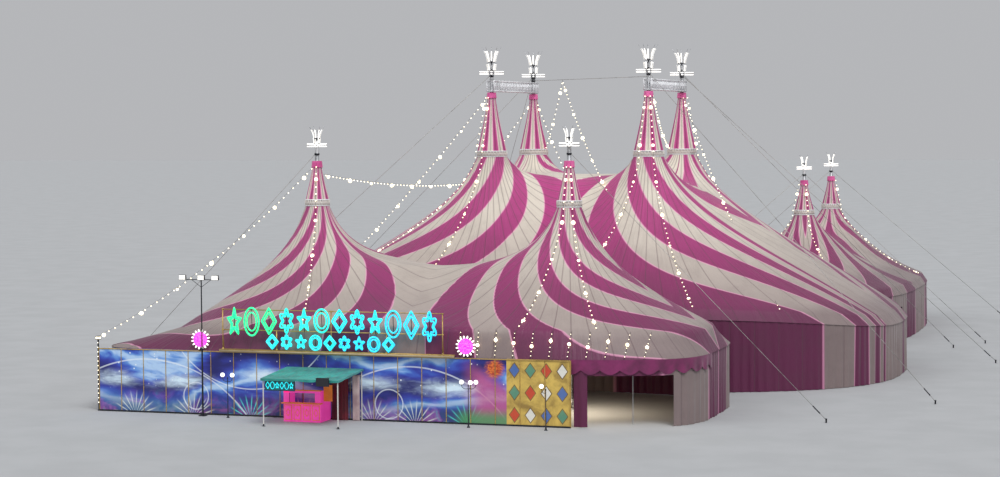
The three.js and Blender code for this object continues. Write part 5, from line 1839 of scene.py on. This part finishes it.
class BIGTOP_OT_masts(bpy.types.Operator):
    """Make the king masts with their crowns, their stays and the two bridges"""

    bl_idname = "bigtop.masts"
    bl_label = "Masts and stays"

    def execute(self, context):
        for tent, index in EVERY_PEAK:
            mast(tent, index)
            stay_ropes(tent, index)
        front, back = place_of(MAIN, 0)[1], place_of(MAIN, 3)[1]
        for side, index in (("left", 0), ("right", 1)):
            x = place_of(MAIN, index)[0]
            girder(x, front, back, 19.38, 20.06, f"bridge_{side}", f"mast_bridge_{side}")
        return {"FINISHED"}


class BIGTOP_OT_walls(bpy.types.Operator):
    """Hang the side walls and the entrance's scalloped strip, and paint the side poles"""

    bl_idname = "bigtop.walls"
    bl_label = "Side walls"

    def execute(self, context):
        side_wall(MAIN, [(-9.0, 17.0, 4.0, 3.0), (9.5, 45.5, 2.6, 2.7)], None)
        side_wall(FOYER, [(7.2, 1.5, 5.0, 2.9), (-9.0, 16.9, 4.0, 3.0)], [(4.2, 0.3), (-24.9, 0.6)])
        side_wall(BACKSTAGE, [(9.5, 46.6, 2.6, 2.7), (15.9, 54.0, 2.4, 2.6)], None)
        valance(FOYER, (4.0, 0.1), (10.8, 6.0), context.scene.big_top_sizes.valance)
        for tent in TENTS:
            paint_node(f"{tent['name']}_side_poles", "mast steel")
        return {"FINISHED"}


class BIGTOP_OT_front_wall(bpy.types.Operator):
    """Paint the front wall and trim its panels"""

    bl_idname = "bigtop.front_wall"
    bl_label = "Front wall"

    def execute(self, context):
        paint_node("front_painted_wall", "painted front wall")
        front_trim()
        return {"FINISHED"}


class BIGTOP_OT_light_frame(bpy.types.Operator):
    """Make the light frame with its lit outlines and the two sunbursts"""

    bl_idname = "bigtop.light_frame"
    bl_label = "Light frame"

    def execute(self, context):
        sign_rails()
        light_shapes()
        for side, x in (("left", -18.62), ("right", -2.08)):
            sunburst(x, f"sunburst_lamp_{side}", f"sunburst_{side}")
        return {"FINISHED"}


class BIGTOP_OT_booth(bpy.types.Operator):
    """Make the ticket booth: rails, canopy, stand and curtains"""

    bl_idname = "bigtop.booth"
    bl_label = "Ticket booth"

    def execute(self, context):
        booth_rails()
        booth_canopy()
        booth_stand()
        booth_curtain("booth_curtain_dark", "curtain", -10.25, -9.2)
        booth_curtain("booth_curtain_pale", "pale drape", -8.95, -8.5)
        return {"FINISHED"}


class BIGTOP_OT_lamp_posts(bpy.types.Operator):
    """Make the globe lamps, the floodlight post and the corner post"""

    bl_idname = "bigtop.lamp_posts"
    bl_label = "Lamp posts"

    def execute(self, context):
        globe_lamp(-16.5, -0.9, 2.45, [(-0.32, 0), (0.3, 0)], "globe_lamp_left", "lamp_post_left")
        globe_lamp(-1.55, -1.2, 2.5, [(-0.4, 0), (0.16, -0.1), (0.42, 0.1)], "globe_lamp_right",
                   "lamp_post_right")
        globe_lamp(3.0, -1.2, 2.4, [(-0.25, 0)], "globe_lamp_single", "lamp_post_single")
        flood_lights()
        corner_post()
        return {"FINISHED"}


# Hanging strings: name, start, end, sag. Strings on the roof: name, tent, mast, direction.
HANGING = [
    ("string_main_left", (-9.24, 26.93, 19.2), (-25.0, 32.0, 4.36), 0.5),
    ("string_main_right", (2.12, 36.93, 19.1), (12.3, 20.35, 5.12), 1.2),
    ("string_foyer_left", (-14.6, 8.05, 14.6), (-25.4, 0.12, 4.52), 0.9),
    ("string_foyer_right", (-14.2, 8.1, 14.1), (-10.95, 26.45, 13.0), 0.35),
    ("string_bridge_left", (-9.0, 37.15, 19.1), (-24.3, 36.6, 4.45), 1.6),
    ("string_saddle", (-9.0, 37.0, 19.1), (-6.55, 36.5, 13.6), 0.2),
    ("string_cable_left", (-6.12, 34.31, 20.22), (-8.15, 36.7, 15.2), 0.3),
    ("string_cable_right", (-6.12, 34.31, 20.22), (-0.55, 25.9, 12.5), 0.5),
    ("string_bridge_right", (2.3, 27.1, 19.1), (1.25, 36.5, 15.3), 0.6),
]
ON_ROOF = [
    ("string_foyer_a", FOYER, 1, -98.0),
    ("string_foyer_b", FOYER, 1, -62.0),
    ("string_foyer_c", FOYER, 0, -75.0),
    ("string_main_a", MAIN, 1, -60.0),
    ("string_main_b", MAIN, 1, -112.0),
    ("string_main_c", MAIN, 0, -110.0),
    ("string_main_d", MAIN, 2, 15.0),
    ("string_main_e", MAIN, 0, -168.0),
    ("string_backstage_a", BACKSTAGE, 0, -60.0),
    ("string_backstage_b", BACKSTAGE, 1, -10.0),
    ("string_backstage_c", BACKSTAGE, 0, -170.0),
]


class BIGTOP_OT_light_strings(bpy.types.Operator):
    """Hang the light strings from the masts and clip the short ones along the eave"""

    bl_idname = "bigtop.light_strings"
    bl_label = "Light strings"

    def execute(self, context):
        for name, start, end, sag in HANGING:
            light_string(name, sagging(start, end, sag))
        for name, tent, index, azimuth in ON_ROOF:
            light_string(name, down_the_roof(tent, index, azimuth))
        eave_drops(FOYER, -3.0, 8.9, context.scene.big_top_sizes.drop_every)
        return {"FINISHED"}


class BIGTOP_OT_stage(bpy.types.Operator):
    """Set up the floor, the soft lamps and the camera"""

    bl_idname = "bigtop.stage"
    bl_label = "Stage"

    def execute(self, context):
        stage = context.scene.big_top_stage
        make_floor(tuple(stage.floor))
        make_world(stage.surround)
        power = stage.lamp_power
        soft_sun("key sun", 52.0, 42.0, 2.0 * power, 0.5)
        soft_sun("fill sun", 34.0, -38.0, 0.7 * power, 0.8)
        soft_lamp("inside", (0.0, -2.1, 0.34), (0.02, -2.12, 0.0), 0.5, 4 * power, (1.0, 0.84, 0.62))
        context.scene.view_settings.view_transform = "Standard"
        make_camera()
        return {"FINISHED"}


SETTINGS = {
    "big_top_cloth": BigTopCloth,
    "big_top_lights": BigTopLights,
    "big_top_sizes": BigTopSizes,
    "big_top_stage": BigTopStage,
}
OPERATORS = (
    BIGTOP_OT_roof_cloth,
    BIGTOP_OT_peaks,
    BIGTOP_OT_masts,
    BIGTOP_OT_walls,
    BIGTOP_OT_front_wall,
    BIGTOP_OT_light_frame,
    BIGTOP_OT_booth,
    BIGTOP_OT_lamp_posts,
    BIGTOP_OT_light_strings,
    BIGTOP_OT_stage,
)


class BIGTOP_PT_panel(bpy.types.Panel):
    """Lists the operators and the settings"""

    bl_idname = "BIGTOP_PT_panel"
    bl_label = "Big Top"
    bl_space_type = "VIEW_3D"
    bl_region_type = "UI"
    bl_category = "Big Top"

    def draw(self, context):
        for name in SETTINGS:
            group = getattr(context.scene, name)
            column = self.layout.column(align=True)
            for key in group.__annotations__:
                column.prop(group, key)
        for operator in OPERATORS:
            self.layout.operator(operator.bl_idname)


CLASSES = (*SETTINGS.values(), *OPERATORS, BIGTOP_PT_panel)


def register():
    for one in CLASSES:
        bpy.utils.register_class(one)
    for name, group in SETTINGS.items():
        setattr(bpy.types.Scene, name, bpy.props.PointerProperty(type=group))


def unregister():
    for name in SETTINGS:
        delattr(bpy.types.Scene, name)
    for one in reversed(CLASSES):
        bpy.utils.unregister_class(one)


def main():
    """Makes every piece in order."""
    register()
    for operator in OPERATORS:
        group, name = operator.bl_idname.split(".")
        getattr(getattr(bpy.ops, group), name)()


if __name__ == "__main__":
    main()
